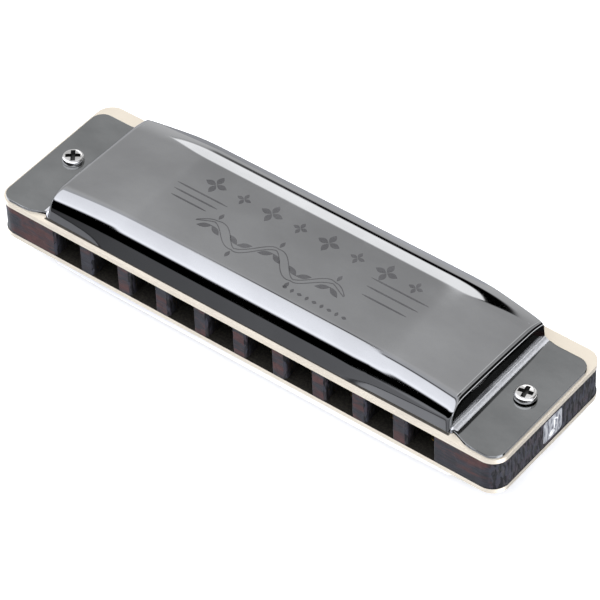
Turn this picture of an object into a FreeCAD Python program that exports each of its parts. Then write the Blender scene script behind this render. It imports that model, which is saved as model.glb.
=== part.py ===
"""Ten-hole diatonic harmonica: comb, two reed plates with twenty reeds, two covers and fasteners.

Millimetres.  X runs along the row of holes (hole 1, the lowest, at -X), the mouth side faces -Y and
+Z is up.  Everything is modelled about the centre of the comb; place() then lifts it so that the
origin lies under the middle of the instrument, on the surface it rests on.
"""
import FreeCAD, Part
import math
import os

# ---- driving dimensions ----------------------------------------------------------------------
HOLE_COUNT = 10
HOLE_PITCH = 7.85
HOLE_WIDTH = 5.05
MOUTH_CHAMFER = 0.35

PLATE_LENGTH = 100.0
PLATE_DEPTH = 28.4
PLATE_THICKNESS = 0.9
PLATE_CORNER = 3.0
COMB_HEIGHT = 5.6
COMB_SETBACK = 0.1            # the comb stops this far inside the plates' edge

COVER_TOP = 9.4               # height of the cover's flat top over the middle of the comb
COVER_SHEET = 0.45
COVER_FRONT = -13.4           # foot of the sloped front wall
COVER_FRONT_SLOPE = 75.0      # degrees from level
COVER_FRONT_RADIUS = 4.0
COVER_REAR = 13.65            # rear edge, in the middle of the length
COVER_REAR_DROP = 1.7         # how far the rear edge lies below the flat top
COVER_REAR_SLOPE = 27.0
COVER_REAR_RADIUS = 9.5
COVER_REAR_CORNER = 12.1      # rear edge at the two ends
COVER_REAR_STRAIGHT = 29.0    # half length over which the rear edge is straight
COVER_FALL_FRONT = 3.6        # the top falls away over this length at the front of each end
COVER_FALL_REAR = 9.6         # and over this length at the rear
COVER_FALL_RATE = 0.25        # drop over length
COVER_END_FOOT = 40.25        # half length at the foot of the end walls
COVER_END_TOP = 39.7
COVER_END_RADIUS = 1.3
COVER_FLARE = 0.9             # fillet between an end wall and its flange
HEM_WIDTH = 2.2
HEM_GAP = 0.02

FLANGE_TIP = 49.5
FLANGE_FRONT = -13.8
FLANGE_REAR = 11.5
FLANGE_WAIST = 12.4
FLANGE_CORNER = 2.3

SCREW_X = 45.3
SCREW_Y = -0.4
SCREW_SHANK = 1.0             # radius
SCREW_HEAD = 1.88             # radius
SCREW_HEAD_HEIGHT = 1.0
SCREW_HOLE = 1.1
CROSS_LENGTH = 2.1
CROSS_WIDTH = 0.5
CROSS_DEPTH = 0.6
NUT_ACROSS_FLATS = 4.0
NUT_HEIGHT = 1.3
THREAD_END = 0.25             # screw end beyond the nut

PLATE_SCREW_X = 29.5
PLATE_SCREW_Y = 12.1
PLATE_SCREW_SHANK = 0.75
PLATE_SCREW_HEAD = 1.5
PLATE_SCREW_HEAD_HEIGHT = 0.7
PLATE_SCREW_HOLE = 0.8

REED_LONGEST = 15.5
REED_SHORTEST = 9.0
REED_WIDEST = 2.3
REED_NARROWEST = 1.9
REED_THICKNESS = 0.25
REED_SET = 0.06               # gap between a resting reed and its plate
REED_TAPER = 0.9              # tip width over root width
SLOT_CLEARANCE = 0.06
ROOT_GAP = 0.05
PAD_LENGTH = 3.4
PAD_WIDTH = 4.2
PAD_THICKNESS = 0.4
RIVET_RADIUS = 0.6
RIVET_HEAD = 0.95
RIVET_HEAD_HEIGHT = 0.15
RIVET_PLAY = 0.02
BLOW_TIP = -9.6               # Y of the free ends of the blow reeds
DRAW_ROOT = -8.4              # Y where the draw reeds flex
CHAMBER_SPARE = 0.75          # chamber length left behind the blow pads

MARK_WIDTH = 4.9
MARK_HEIGHT = 4.5
MARK_CORNER = 0.6
MARK_THICKNESS = 0.3
MARK_Y = 0.35
MARK_GAP = 0.02

# ---- sizes that follow -----------------------------------------------------------------------
COMB_TOP = COMB_HEIGHT / 2
PLATE_TOP = COMB_TOP + PLATE_THICKNESS
FLANGE_TOP = PLATE_TOP + COVER_SHEET
FRONT = -PLATE_DEPTH / 2
ORIGIN = FreeCAD.Vector(0, 0, 0)
UP = FreeCAD.Vector(0, 0, 1)


def vector(x, y, z=0.0):
    """A point or direction."""
    return FreeCAD.Vector(x, y, z)


# ---- outlines and blocks ---------------------------------------------------------------------
def rounded_wire(corners):
    """A closed outline through (x, y, radius) corners: straight runs joined by tangent arcs."""
    points = [vector(x, y) for x, y, _ in corners]
    arcs = []
    for index, (_, _, radius) in enumerate(corners):
        corner = points[index]
        before = (points[index - 1] - corner).normalize()
        after = (points[(index + 1) % len(points)] - corner).normalize()
        half_angle = before.getAngle(after) / 2
        if radius == 0:
            arcs.append((corner, None, corner))
            continue
        reach = radius / math.tan(half_angle)
        inward = (before + after).normalize()
        centre = corner + inward * (radius / math.sin(half_angle))
        arcs.append((corner + before * reach, centre - inward * radius, corner + after * reach))
    edges = []
    for index, (start, middle, end) in enumerate(arcs):
        previous_end = arcs[index - 1][2]
        if (start - previous_end).Length > 1e-6:
            edges.append(Part.makeLine(previous_end, start))
        if middle is not None:
            edges.append(Part.Arc(start, middle, end).toShape())
    return Part.Wire(edges)


def prism(corners, low, high):
    """A block standing on the outline, between two heights."""
    block = Part.Face(rounded_wire(corners)).extrude(UP * (high - low))
    block.translate(UP * low)
    return block


def along_x(corners, low, high):
    """A block whose outline lies in the YZ plane, drawn out between two X values."""
    block = prism(corners, low, high)
    block.rotate(ORIGIN, vector(1, 1, 1), 120)
    return block


def along_y(corners, low, high):
    """A block whose outline lies in the XZ plane, drawn out between two Y values."""
    block = prism(corners, -high, -low)
    block.rotate(ORIGIN, vector(1, 0, 0), 90)
    return block


def box(low, high):
    """A box between two opposite corners."""
    size = high - low
    return Part.makeBox(size.x, size.y, size.z, low)


def rod(radius, x, y, low, high):
    """An upright cylinder."""
    return Part.makeCylinder(radius, high - low, vector(x, y, low))


def rounded_slab(half_length, half_depth, radius, low, high):
    """A rectangular slab with round upright corners."""
    corners = [
        (-half_length, -half_depth, radius),
        (half_length, -half_depth, radius),
        (half_length, half_depth, radius),
        (-half_length, half_depth, radius),
    ]
    return prism(corners, low, high)


def mirrored(corners):
    """The same outline on the other side of X = 0."""
    return [(-x, y, radius) for x, y, radius in reversed(corners)]


# ---- the row of holes ------------------------------------------------------------------------
def share(index):
    """0 at hole 1 and 1 at the last hole."""
    return index / (HOLE_COUNT - 1)


def hole_x(index):
    """Middle of a hole."""
    return (index - (HOLE_COUNT - 1) / 2) * HOLE_PITCH


def reed_length(index):
    """Reeds shorten by the same ratio from hole to hole."""
    return REED_LONGEST * (REED_SHORTEST / REED_LONGEST) ** share(index)


def reed_width(index):
    """Reeds narrow evenly along the row."""
    return REED_WIDEST + (REED_NARROWEST - REED_WIDEST) * share(index)


def blow_root(index):
    """Y where a blow reed flexes: its free end lies near the mouth."""
    return BLOW_TIP + reed_length(index)


def chamber_end(index):
    """Rear end of the chamber, behind the blow reed's pad."""
    return blow_root(index) + PAD_LENGTH + CHAMBER_SPARE


def cover_screw_places():
    """The two places where the covers are bolted together."""
    return [(-SCREW_X, SCREW_Y), (SCREW_X, SCREW_Y)]


def plate_screw_places():
    """The three screws that hold the reed plates to the comb."""
    return [(x, PLATE_SCREW_Y) for x in (-PLATE_SCREW_X, 0.0, PLATE_SCREW_X)]


# ---- comb and reed plates --------------------------------------------------------------------
def channel(index):
    """The space of one hole, from before the mouth to the rear end of its chamber."""
    half = HOLE_WIDTH / 2
    middle = hole_x(index)
    mouth = FRONT + COMB_SETBACK
    rear = chamber_end(index)
    flare = half + MOUTH_CHAMFER
    corners = [
        (middle - flare, mouth - 1, 0),
        (middle + flare, mouth - 1, 0),
        (middle + flare, mouth, 0),
        (middle + half, mouth + MOUTH_CHAMFER, 0),
        (middle + half, rear, 0.5),
        (middle - half, rear, 0.5),
        (middle - half, mouth + MOUTH_CHAMFER, 0),
        (middle - flare, mouth, 0),
    ]
    return prism(corners, -COMB_TOP - 1, COMB_TOP + 1)


def make_comb():
    """The wooden comb with its ten chambers, open above and below."""
    half_length = PLATE_LENGTH / 2 - COMB_SETBACK
    half_depth = PLATE_DEPTH / 2 - COMB_SETBACK
    comb = rounded_slab(half_length, half_depth, PLATE_CORNER, -COMB_TOP, COMB_TOP)
    cutters = [channel(index) for index in range(HOLE_COUNT)]
    for x, y in cover_screw_places():
        cutters.append(rod(SCREW_HOLE, x, y, -COMB_TOP - 1, COMB_TOP + 1))
    for x, y in plate_screw_places():
        cutters.append(rod(PLATE_SCREW_HOLE, x, y, -COMB_TOP - 1, COMB_TOP + 1))
    cutters.append(mark_block(MARK_GAP))
    return comb.cut(cutters)


def slot(index, near, far, low, high):
    """The slot in a plate that a reed swings through, between two Y values."""
    half = reed_width(index) / 2 + SLOT_CLEARANCE
    x = hole_x(index)
    return box(vector(x - half, near, low), vector(x + half, far, high))


def make_reed_plate(low, slots, rivet_places):
    """A reed plate with its slots, rivet holes and screw holes; low is its under face."""
    high = low + PLATE_THICKNESS
    plate = rounded_slab(PLATE_LENGTH / 2, PLATE_DEPTH / 2, PLATE_CORNER, low, high)
    cutters = []
    for index, (near, far) in enumerate(slots):
        cutters.append(slot(index, near - SLOT_CLEARANCE, far + SLOT_CLEARANCE, low - 1, high + 1))
    for x, y in rivet_places:
        cutters.append(rod(RIVET_RADIUS + RIVET_PLAY, x, y, low - 1, high + 1))
    for x, y in cover_screw_places():
        cutters.append(rod(SCREW_HOLE, x, y, low - 1, high + 1))
    for x, y in plate_screw_places():
        cutters.append(rod(PLATE_SCREW_HOLE, x, y, low - 1, high + 1))
    return plate.cut(cutters)


def blow_span(index):
    """Y range of a blow reed."""
    return BLOW_TIP, blow_root(index)


def draw_span(index):
    """Y range of a draw reed, which points the other way."""
    return DRAW_ROOT, DRAW_ROOT + reed_length(index)


def blow_rivet_place(index):
    """Middle of a blow reed's pad."""
    return hole_x(index), blow_root(index) + ROOT_GAP + PAD_LENGTH / 2


def draw_rivet_place(index):
    """Middle of a draw reed's pad."""
    return hole_x(index), DRAW_ROOT - ROOT_GAP - PAD_LENGTH / 2


# ---- reeds -----------------------------------------------------------------------------------
def make_reed(index, root, tip, low):
    """The free tongue of one reed, slightly narrower at its tip."""
    x = hole_x(index)
    half_root = reed_width(index) / 2
    half_tip = half_root * REED_TAPER
    corners = [
        (x - half_root, root, 0),
        (x + half_root, root, 0),
        (x + half_tip, tip, 0),
        (x - half_tip, tip, 0),
    ]
    return prism(corners, low, low + REED_THICKNESS)


def make_pad(place, low):
    """The riveted end of one reed, with rounded corners."""
    x, y = place
    pad = rounded_slab(PAD_WIDTH / 2, PAD_LENGTH / 2, 0.4, low, low + PAD_THICKNESS)
    pad.translate(vector(x, y))
    return pad.cut(rod(RIVET_RADIUS + RIVET_PLAY, x, y, low - 1, low + PAD_THICKNESS + 1))


def make_rivet(place, pad_face, plate_face):
    """A rivet from its head on the pad to the far face of the plate, where it ends flush."""
    x, y = place
    outward = 1 if pad_face > plate_face else -1
    head_end = pad_face + outward * RIVET_HEAD_HEIGHT
    head = rod(RIVET_HEAD, x, y, min(pad_face, head_end), max(pad_face, head_end))
    shank = rod(RIVET_RADIUS, x, y, min(head_end, plate_face), max(head_end, plate_face))
    return head.fuse(shank).removeSplitter()


# ---- covers ----------------------------------------------------------------------------------
def cover_side_outline(inset, rear_reach):
    """The cover's section across its length; the inset moves every wall inwards."""
    turn = math.radians(COVER_FRONT_SLOPE)
    fall = math.radians(COVER_REAR_SLOPE)
    top = COVER_TOP - inset
    base = PLATE_TOP - (1.0 if inset else 0.0)
    foot = COVER_FRONT + inset / math.sin(turn) + (base - PLATE_TOP) / math.tan(turn)
    front_break = foot + (top - base) / math.tan(turn)
    rear_break = COVER_REAR - COVER_REAR_DROP / math.tan(fall) - inset * math.tan(fall / 2)
    rear_height = top - (rear_reach - rear_break) * math.tan(fall)
    return [
        (foot, base, 0),
        (rear_reach, base, 0),
        (rear_reach, rear_height, 0),
        (rear_break, top, COVER_REAR_RADIUS - inset),
        (front_break, top, COVER_FRONT_RADIUS - inset),
    ]


def fall_cutters(inset):
    """Blocks that plane the top off towards both ends, more so at the rear corners."""
    front_edge = vector(COVER_END_TOP - COVER_FALL_FRONT, COVER_FRONT, COVER_TOP)
    rear_edge = vector(COVER_END_TOP - COVER_FALL_REAR, COVER_REAR_CORNER, COVER_TOP)
    low_corner = vector(COVER_END_TOP, COVER_FRONT, COVER_TOP - COVER_FALL_FRONT * COVER_FALL_RATE)
    normal = (low_corner - front_edge).cross(rear_edge - front_edge).normalize()
    reach = PLATE_LENGTH
    block = box(vector(-reach, -reach, 0), vector(reach, reach, COVER_TOP))
    block.Placement = FreeCAD.Placement(front_edge - normal * inset, FreeCAD.Rotation(UP, normal))
    return [block, block.mirror(ORIGIN, vector(1, 0, 0))]


def cover_outer():
    """The solid that the cover's outside encloses, with the flare at the foot of its ends."""
    half = COVER_END_FOOT + COVER_FLARE
    side = along_x(cover_side_outline(0.0, COVER_REAR), -half, half)
    right_end = [
        (half, PLATE_TOP, 0),
        (half, FLANGE_TOP, 0),
        (COVER_END_FOOT, FLANGE_TOP, COVER_FLARE * 0.9),
        (COVER_END_TOP, COVER_TOP, COVER_END_RADIUS),
    ]
    ends = along_y(right_end + mirrored(right_end), COVER_FRONT - 1, COVER_REAR + 1)
    right_plan = [
        (half, COVER_FRONT - 1, 0),
        (half, COVER_REAR_CORNER, 0),
        (COVER_REAR_STRAIGHT, COVER_REAR, 28.0),
    ]
    plan = prism(right_plan + mirrored(right_plan), PLATE_TOP, COVER_TOP + 1)
    return side.common(ends).common(plan).cut(fall_cutters(0.0))


def cover_cavity():
    """The hollow under the cover, running out through its open back."""
    reach = COVER_REAR + 2
    half_foot = COVER_END_FOOT - COVER_SHEET
    half_top = COVER_END_TOP - COVER_SHEET
    side = along_x(cover_side_outline(COVER_SHEET, reach), -half_foot - 1, half_foot + 1)
    right_end = [
        (half_foot, PLATE_TOP - 1, 0),
        (half_top, COVER_TOP - COVER_SHEET, COVER_END_RADIUS - COVER_SHEET),
    ]
    ends = along_y(right_end + mirrored(right_end), COVER_FRONT - 1, reach + 1)
    return side.common(ends).cut(fall_cutters(COVER_SHEET))


def cover_hem():
    """The rear edge folded back under itself, over the straight part of the edge."""
    fall = math.radians(COVER_REAR_SLOPE)
    edge = vector(COVER_REAR, COVER_TOP - COVER_REAR_DROP)
    down_slope = vector(math.cos(fall), -math.sin(fall))
    under = vector(-math.sin(fall), -math.cos(fall))
    near = edge + under * (COVER_SHEET - HEM_GAP) - down_slope * 0.3
    far = near - down_slope * HEM_WIDTH
    corners = [near, near + under * COVER_SHEET, far + under * COVER_SHEET, far]
    radii = [0, 0.2, 0.2, 0]
    outline = [(point.x, point.y, radius) for point, radius in zip(corners, radii)]
    half = COVER_REAR_STRAIGHT - 5
    return along_x(outline, -half, half)


def flange():
    """The flat ear at the right-hand end, waisted where it meets the cover's corners."""
    corners = [
        (COVER_END_FOOT - 1.0, -FLANGE_WAIST, 0),
        (COVER_END_FOOT + 1.2, -FLANGE_WAIST - 0.4, 1.2),
        (COVER_END_FOOT + 3.6, FLANGE_FRONT, 4.0),
        (FLANGE_TIP, FLANGE_FRONT, FLANGE_CORNER),
        (FLANGE_TIP, FLANGE_REAR, FLANGE_CORNER),
        (COVER_END_FOOT + 2.6, FLANGE_REAR, 3.0),
        (COVER_END_FOOT - 1.0, COVER_REAR_CORNER, 0),
    ]
    ear = prism(corners, PLATE_TOP, FLANGE_TOP)
    return ear.cut(rod(SCREW_HOLE, SCREW_X, SCREW_Y, PLATE_TOP - 1, FLANGE_TOP + 1))


def make_cover():
    """The upper cover: a pressed shell with an open back and a flange at each end."""
    right = flange()
    left = right.mirror(ORIGIN, vector(1, 0, 0))
    shell = cover_outer().fuse([right, left]).cut(cover_cavity())
    return shell.fuse(cover_hem()).removeSplitter()


# ---- fasteners and key mark ------------------------------------------------------------------
def cross_recess(x, y, top):
    """The cross-shaped driver recess in a screw head."""
    half = CROSS_LENGTH / 2
    narrow = CROSS_WIDTH / 2
    low = top - CROSS_DEPTH
    one = box(vector(x - half, y - narrow, low), vector(x + half, y + narrow, top + 1))
    other = box(vector(x - narrow, y - half, low), vector(x + narrow, y + half, top + 1))
    return one.fuse(other)


def pan_head(x, y, radius, low, height):
    """A low round head with a softened upper edge."""
    head = rod(radius, x, y, low, low + height)
    rim = [edge for edge in head.Edges if edge.BoundBox.ZMin > low + height / 2]
    return head.makeFillet(height * 0.45, rim)


def make_cover_screw(place):
    """A machine screw through both covers, both plates and the comb."""
    x, y = place
    head = pan_head(x, y, SCREW_HEAD, FLANGE_TOP, SCREW_HEAD_HEIGHT)
    shank = rod(SCREW_SHANK, x, y, -FLANGE_TOP - NUT_HEIGHT - THREAD_END, FLANGE_TOP + 0.1)
    screw = head.fuse(shank).removeSplitter()
    return screw.cut(cross_recess(x, y, FLANGE_TOP + SCREW_HEAD_HEIGHT))


def make_cover_nut(place):
    """A hexagon nut under the lower flange."""
    x, y = place
    corner = NUT_ACROSS_FLATS / math.sqrt(3)
    corners = []
    for step in range(6):
        angle = math.radians(60 * step)
        corners.append((x + corner * math.cos(angle), y + corner * math.sin(angle), 0))
    low = -FLANGE_TOP - NUT_HEIGHT
    return prism(corners, low, -FLANGE_TOP).cut(rod(SCREW_SHANK + 0.04, x, y, low - 1, 0))


def make_plate_screw(place):
    """A small screw from the upper plate through the comb into the lower plate."""
    x, y = place
    head = pan_head(x, y, PLATE_SCREW_HEAD, PLATE_TOP, PLATE_SCREW_HEAD_HEIGHT)
    screw = head.fuse(rod(PLATE_SCREW_SHANK, x, y, -PLATE_TOP, PLATE_TOP + 0.1)).removeSplitter()
    slot_low = PLATE_TOP + PLATE_SCREW_HEAD_HEIGHT - 0.3
    driver_slot = box(vector(x - 2, y - 0.2, slot_low), vector(x + 2, y + 0.2, slot_low + 1))
    return screw.cut(driver_slot)


def mark_block(gap):
    """The key mark's plate in the right-hand end of the comb, or with a gap its recess."""
    end = PLATE_LENGTH / 2 - COMB_SETBACK
    half_width = MARK_WIDTH / 2 + gap
    half_height = MARK_HEIGHT / 2 + gap
    corners = [
        (MARK_Y - half_width, -half_height, MARK_CORNER),
        (MARK_Y + half_width, -half_height, MARK_CORNER),
        (MARK_Y + half_width, half_height, MARK_CORNER),
        (MARK_Y - half_width, half_height, MARK_CORNER),
    ]
    return along_x(corners, end - MARK_THICKNESS, end + gap)


# ---- assembly --------------------------------------------------------------------------------
def build_parts():
    """Every node's shape, about the centre of the comb."""
    holes = range(HOLE_COUNT)
    blow_rivets = [blow_rivet_place(index) for index in holes]
    draw_rivets = [draw_rivet_place(index) for index in holes]
    blow_slots = [blow_span(index) for index in holes]
    draw_slots = [draw_span(index) for index in holes]
    cover = make_cover()
    blow_pad_low = COMB_TOP - PAD_THICKNESS
    draw_pad_low = -PLATE_TOP - PAD_THICKNESS
    parts = {
        "comb": make_comb(),
        "blow_reed_plate": make_reed_plate(COMB_TOP, blow_slots, blow_rivets),
        "draw_reed_plate": make_reed_plate(-PLATE_TOP, draw_slots, draw_rivets),
        "top_cover": cover,
        "bottom_cover": cover.mirror(ORIGIN, UP),
        "blow_reed_pads": Part.Compound([make_pad(place, blow_pad_low) for place in blow_rivets]),
        "draw_reed_pads": Part.Compound([make_pad(place, draw_pad_low) for place in draw_rivets]),
        "blow_reed_rivets": Part.Compound(
            [make_rivet(place, blow_pad_low, PLATE_TOP) for place in blow_rivets]),
        "draw_reed_rivets": Part.Compound(
            [make_rivet(place, draw_pad_low, -COMB_TOP) for place in draw_rivets]),
        "cover_screws": Part.Compound([make_cover_screw(p) for p in cover_screw_places()]),
        "cover_nuts": Part.Compound([make_cover_nut(p) for p in cover_screw_places()]),
        "reed_plate_screws": Part.Compound([make_plate_screw(p) for p in plate_screw_places()]),
        "key_mark": mark_block(0.0),
    }
    blow_low = COMB_TOP - REED_SET - REED_THICKNESS
    draw_low = -PLATE_TOP - REED_SET - REED_THICKNESS
    for index in holes:
        blow_tip, blow_flex = blow_span(index)
        draw_flex, draw_tip = draw_span(index)
        parts[f"blow_reed_{index + 1}"] = make_reed(index, blow_flex, blow_tip, blow_low)
        parts[f"draw_reed_{index + 1}"] = make_reed(index, draw_flex, draw_tip, draw_low)
    return parts


def place(shape):
    """Lift a shape so that the lower cover's flat face lies at height zero."""
    shape.translate(UP * COVER_TOP)
    return shape


os.makedirs("parts", exist_ok=True)
for node, shape in build_parts().items():
    place(shape).exportStep(f"parts/{node}.step")
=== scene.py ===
"""Ten-hole diatonic harmonica: pressed black-chrome covers, screws, engraving and finishes.

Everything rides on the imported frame. Lengths in the classes are millimetres about the middle of
the comb; Bench.place turns them into the frame's metres.
"""

import logging
import math
from collections.abc import Callable, Sequence
from dataclasses import dataclass, field
from enum import Enum

import bmesh
import bpy
import numpy as np
from mathutils import Matrix, Vector

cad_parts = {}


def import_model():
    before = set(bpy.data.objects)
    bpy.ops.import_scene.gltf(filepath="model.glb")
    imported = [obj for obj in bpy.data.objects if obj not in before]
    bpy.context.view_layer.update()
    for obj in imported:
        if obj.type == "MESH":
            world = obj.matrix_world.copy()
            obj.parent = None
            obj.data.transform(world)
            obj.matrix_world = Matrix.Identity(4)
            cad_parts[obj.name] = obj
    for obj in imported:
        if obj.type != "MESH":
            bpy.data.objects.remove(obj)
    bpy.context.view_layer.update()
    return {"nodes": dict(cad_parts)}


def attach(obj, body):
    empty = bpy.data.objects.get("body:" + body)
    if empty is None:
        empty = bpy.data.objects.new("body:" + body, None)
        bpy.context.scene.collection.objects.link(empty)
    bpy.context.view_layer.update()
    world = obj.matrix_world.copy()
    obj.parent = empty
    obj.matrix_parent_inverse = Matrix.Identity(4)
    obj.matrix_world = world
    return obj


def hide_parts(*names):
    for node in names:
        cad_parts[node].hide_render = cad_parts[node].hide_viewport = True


MM = 0.001
COMB_MIDDLE = 9.4
BODY = "harmonica"
LOG = logging.getLogger("harmonica")

Colour = tuple[float, float, float]
Socket = bpy.types.NodeSocket
Material = bpy.types.Material
Piece = bpy.types.Object
Mesh = bmesh.types.BMesh

# Where a smooth step starts and ends, then its results below and above if they aren't 0 and 1.
Step = tuple[float, ...]


class Side(Enum):
    """Which of the two covers a piece belongs to; the value is the direction of its outside."""

    UPPER = 1.0
    LOWER = -1.0


class Fibre(Enum):
    """Scales per metre along X, Y and Z of the patterns in the wood."""

    LONG = (140.0, 3600.0, 3600.0)
    END = (900.0, 1750.0, 430.0)
    PORE = (700.0, 1950.0, 480.0)


# ---- shader nodes ----------------------------------------------------------------------------
class Tree:
    """Places and joins the nodes of one node tree."""

    def __init__(self, tree: bpy.types.NodeTree, empty: bool = True) -> None:
        """Starts on a tree.

        Args:
            tree: The node tree to fill.
            empty: Whether the nodes that it has are removed first.
        """
        self.tree = tree
        if empty:
            tree.nodes.clear()

    def add(self, kind: str, settings: dict | None = None, **inputs: object) -> bpy.types.Node:
        """Adds a node.

        Args:
            kind: The node's type name without its ShaderNode prefix.
            settings: Properties of the node itself.
            inputs: Socket values or sockets to join, with underscores for spaces in the names.

        Returns:
            The new node.
        """
        node = self.tree.nodes.new(kind if kind.startswith("Node") else "ShaderNode" + kind)
        for name, value in (settings or {}).items():
            setattr(node, name, value)
        for name, value in inputs.items():
            self.put(node.inputs[name.replace("_", " ")], value)
        return node

    def put(self, socket: Socket, value: object) -> None:
        """Sets a socket, or joins another socket to it.

        Args:
            socket: The input socket.
            value: A number, a colour or an output socket.
        """
        if isinstance(value, Socket):
            self.tree.links.new(value, socket)
        elif isinstance(value, tuple) and len(value) == 3 and len(socket.default_value) == 4:
            socket.default_value = (*value, 1.0)
        else:
            socket.default_value = value

    def math(self, operation: str, *values: object, clamp: bool = False) -> Socket:
        """Adds a Math node.

        Args:
            operation: The node's operation.
            values: Its operands, numbers or sockets.
            clamp: Whether the result is kept between 0 and 1.

        Returns:
            The result's socket.
        """
        node = self.add("Math", {"operation": operation, "use_clamp": clamp})
        for socket, value in zip(node.inputs, values):
            self.put(socket, value)
        return node.outputs[0]

    def band(
        self, value: object, low: float, high: float, first: float = 0.0, last: float = 1.0,
        even: bool = False,
    ) -> Socket:
        """Adds a smooth step from one value to another.

        Args:
            value: The socket that is stepped on.
            low: Where the step starts.
            high: Where it ends.
            first: Result below the step.
            last: Result above it.
            even: Whether the step is a straight slope.

        Returns:
            The result's socket.
        """
        node = self.add("MapRange", {"interpolation_type": "LINEAR" if even else "SMOOTHSTEP"})
        names = ("Value", "From Min", "From Max", "To Min", "To Max")
        for name, part in zip(names, (value, low, high, first, last)):
            self.put(node.inputs[name], part)
        return node.outputs[0]

    def window(self, value: object, rise: Step, fall: Step) -> Socket:
        """Adds two smooth steps whose product is 1 between them and 0 outside."""
        return self.math("MULTIPLY", self.band(value, *rise), self.band(value, *fall, 1.0, 0.0))

    def less(self, level: object, mask: object) -> Socket:
        """Takes a mask's share away from a level."""
        return self.math("MULTIPLY", level, self.math("SUBTRACT", 1.0, mask))

    def apart(self, first: object, second: object) -> Socket:
        """The distance between two values."""
        return self.math("ABSOLUTE", self.math("SUBTRACT", first, second))

    def mix(self, factor: object, first: object, second: object, blend: str = "MIX") -> Socket:
        """Adds a colour mix.

        Args:
            factor: Share of the second colour.
            first: A colour or socket.
            second: A colour or socket.
            blend: How they are mixed.

        Returns:
            The mixed colour's socket.
        """
        node = self.add("Mix", {"data_type": "RGBA", "blend_type": blend})
        for index, value in ((0, factor), (6, first), (7, second)):
            self.put(node.inputs[index], value)
        return node.outputs[2]

    def noise(self, vector: object, scale: float, detail: float = 3.0, rough: float = 0.5) -> Socket:
        """Adds a noise texture.

        Args:
            vector: The coordinates' socket.
            scale: Features per unit of the coordinates.
            detail: Octaves.
            rough: Strength of the finer octaves.

        Returns:
            The noise value's socket.
        """
        node = self.add("TexNoise", Vector=vector, Scale=scale, Detail=detail, Roughness=rough)
        return node.outputs["Fac"]

    def stretched(
        self, vector: object, scale: Sequence[float], turn: Sequence[float] = (0, 0, 0)
    ) -> Socket:
        """Adds a mapping that scales and turns coordinates.

        Args:
            vector: The coordinates' socket.
            scale: Scale along X, Y and Z.
            turn: Turn about X, Y and Z in degrees.

        Returns:
            The mapped coordinates' socket.
        """
        node = self.add("Mapping", Vector=vector)
        node.inputs["Scale"].default_value = tuple(scale)
        node.inputs["Rotation"].default_value = tuple(math.radians(angle) for angle in turn)
        return node.outputs[0]


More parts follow.
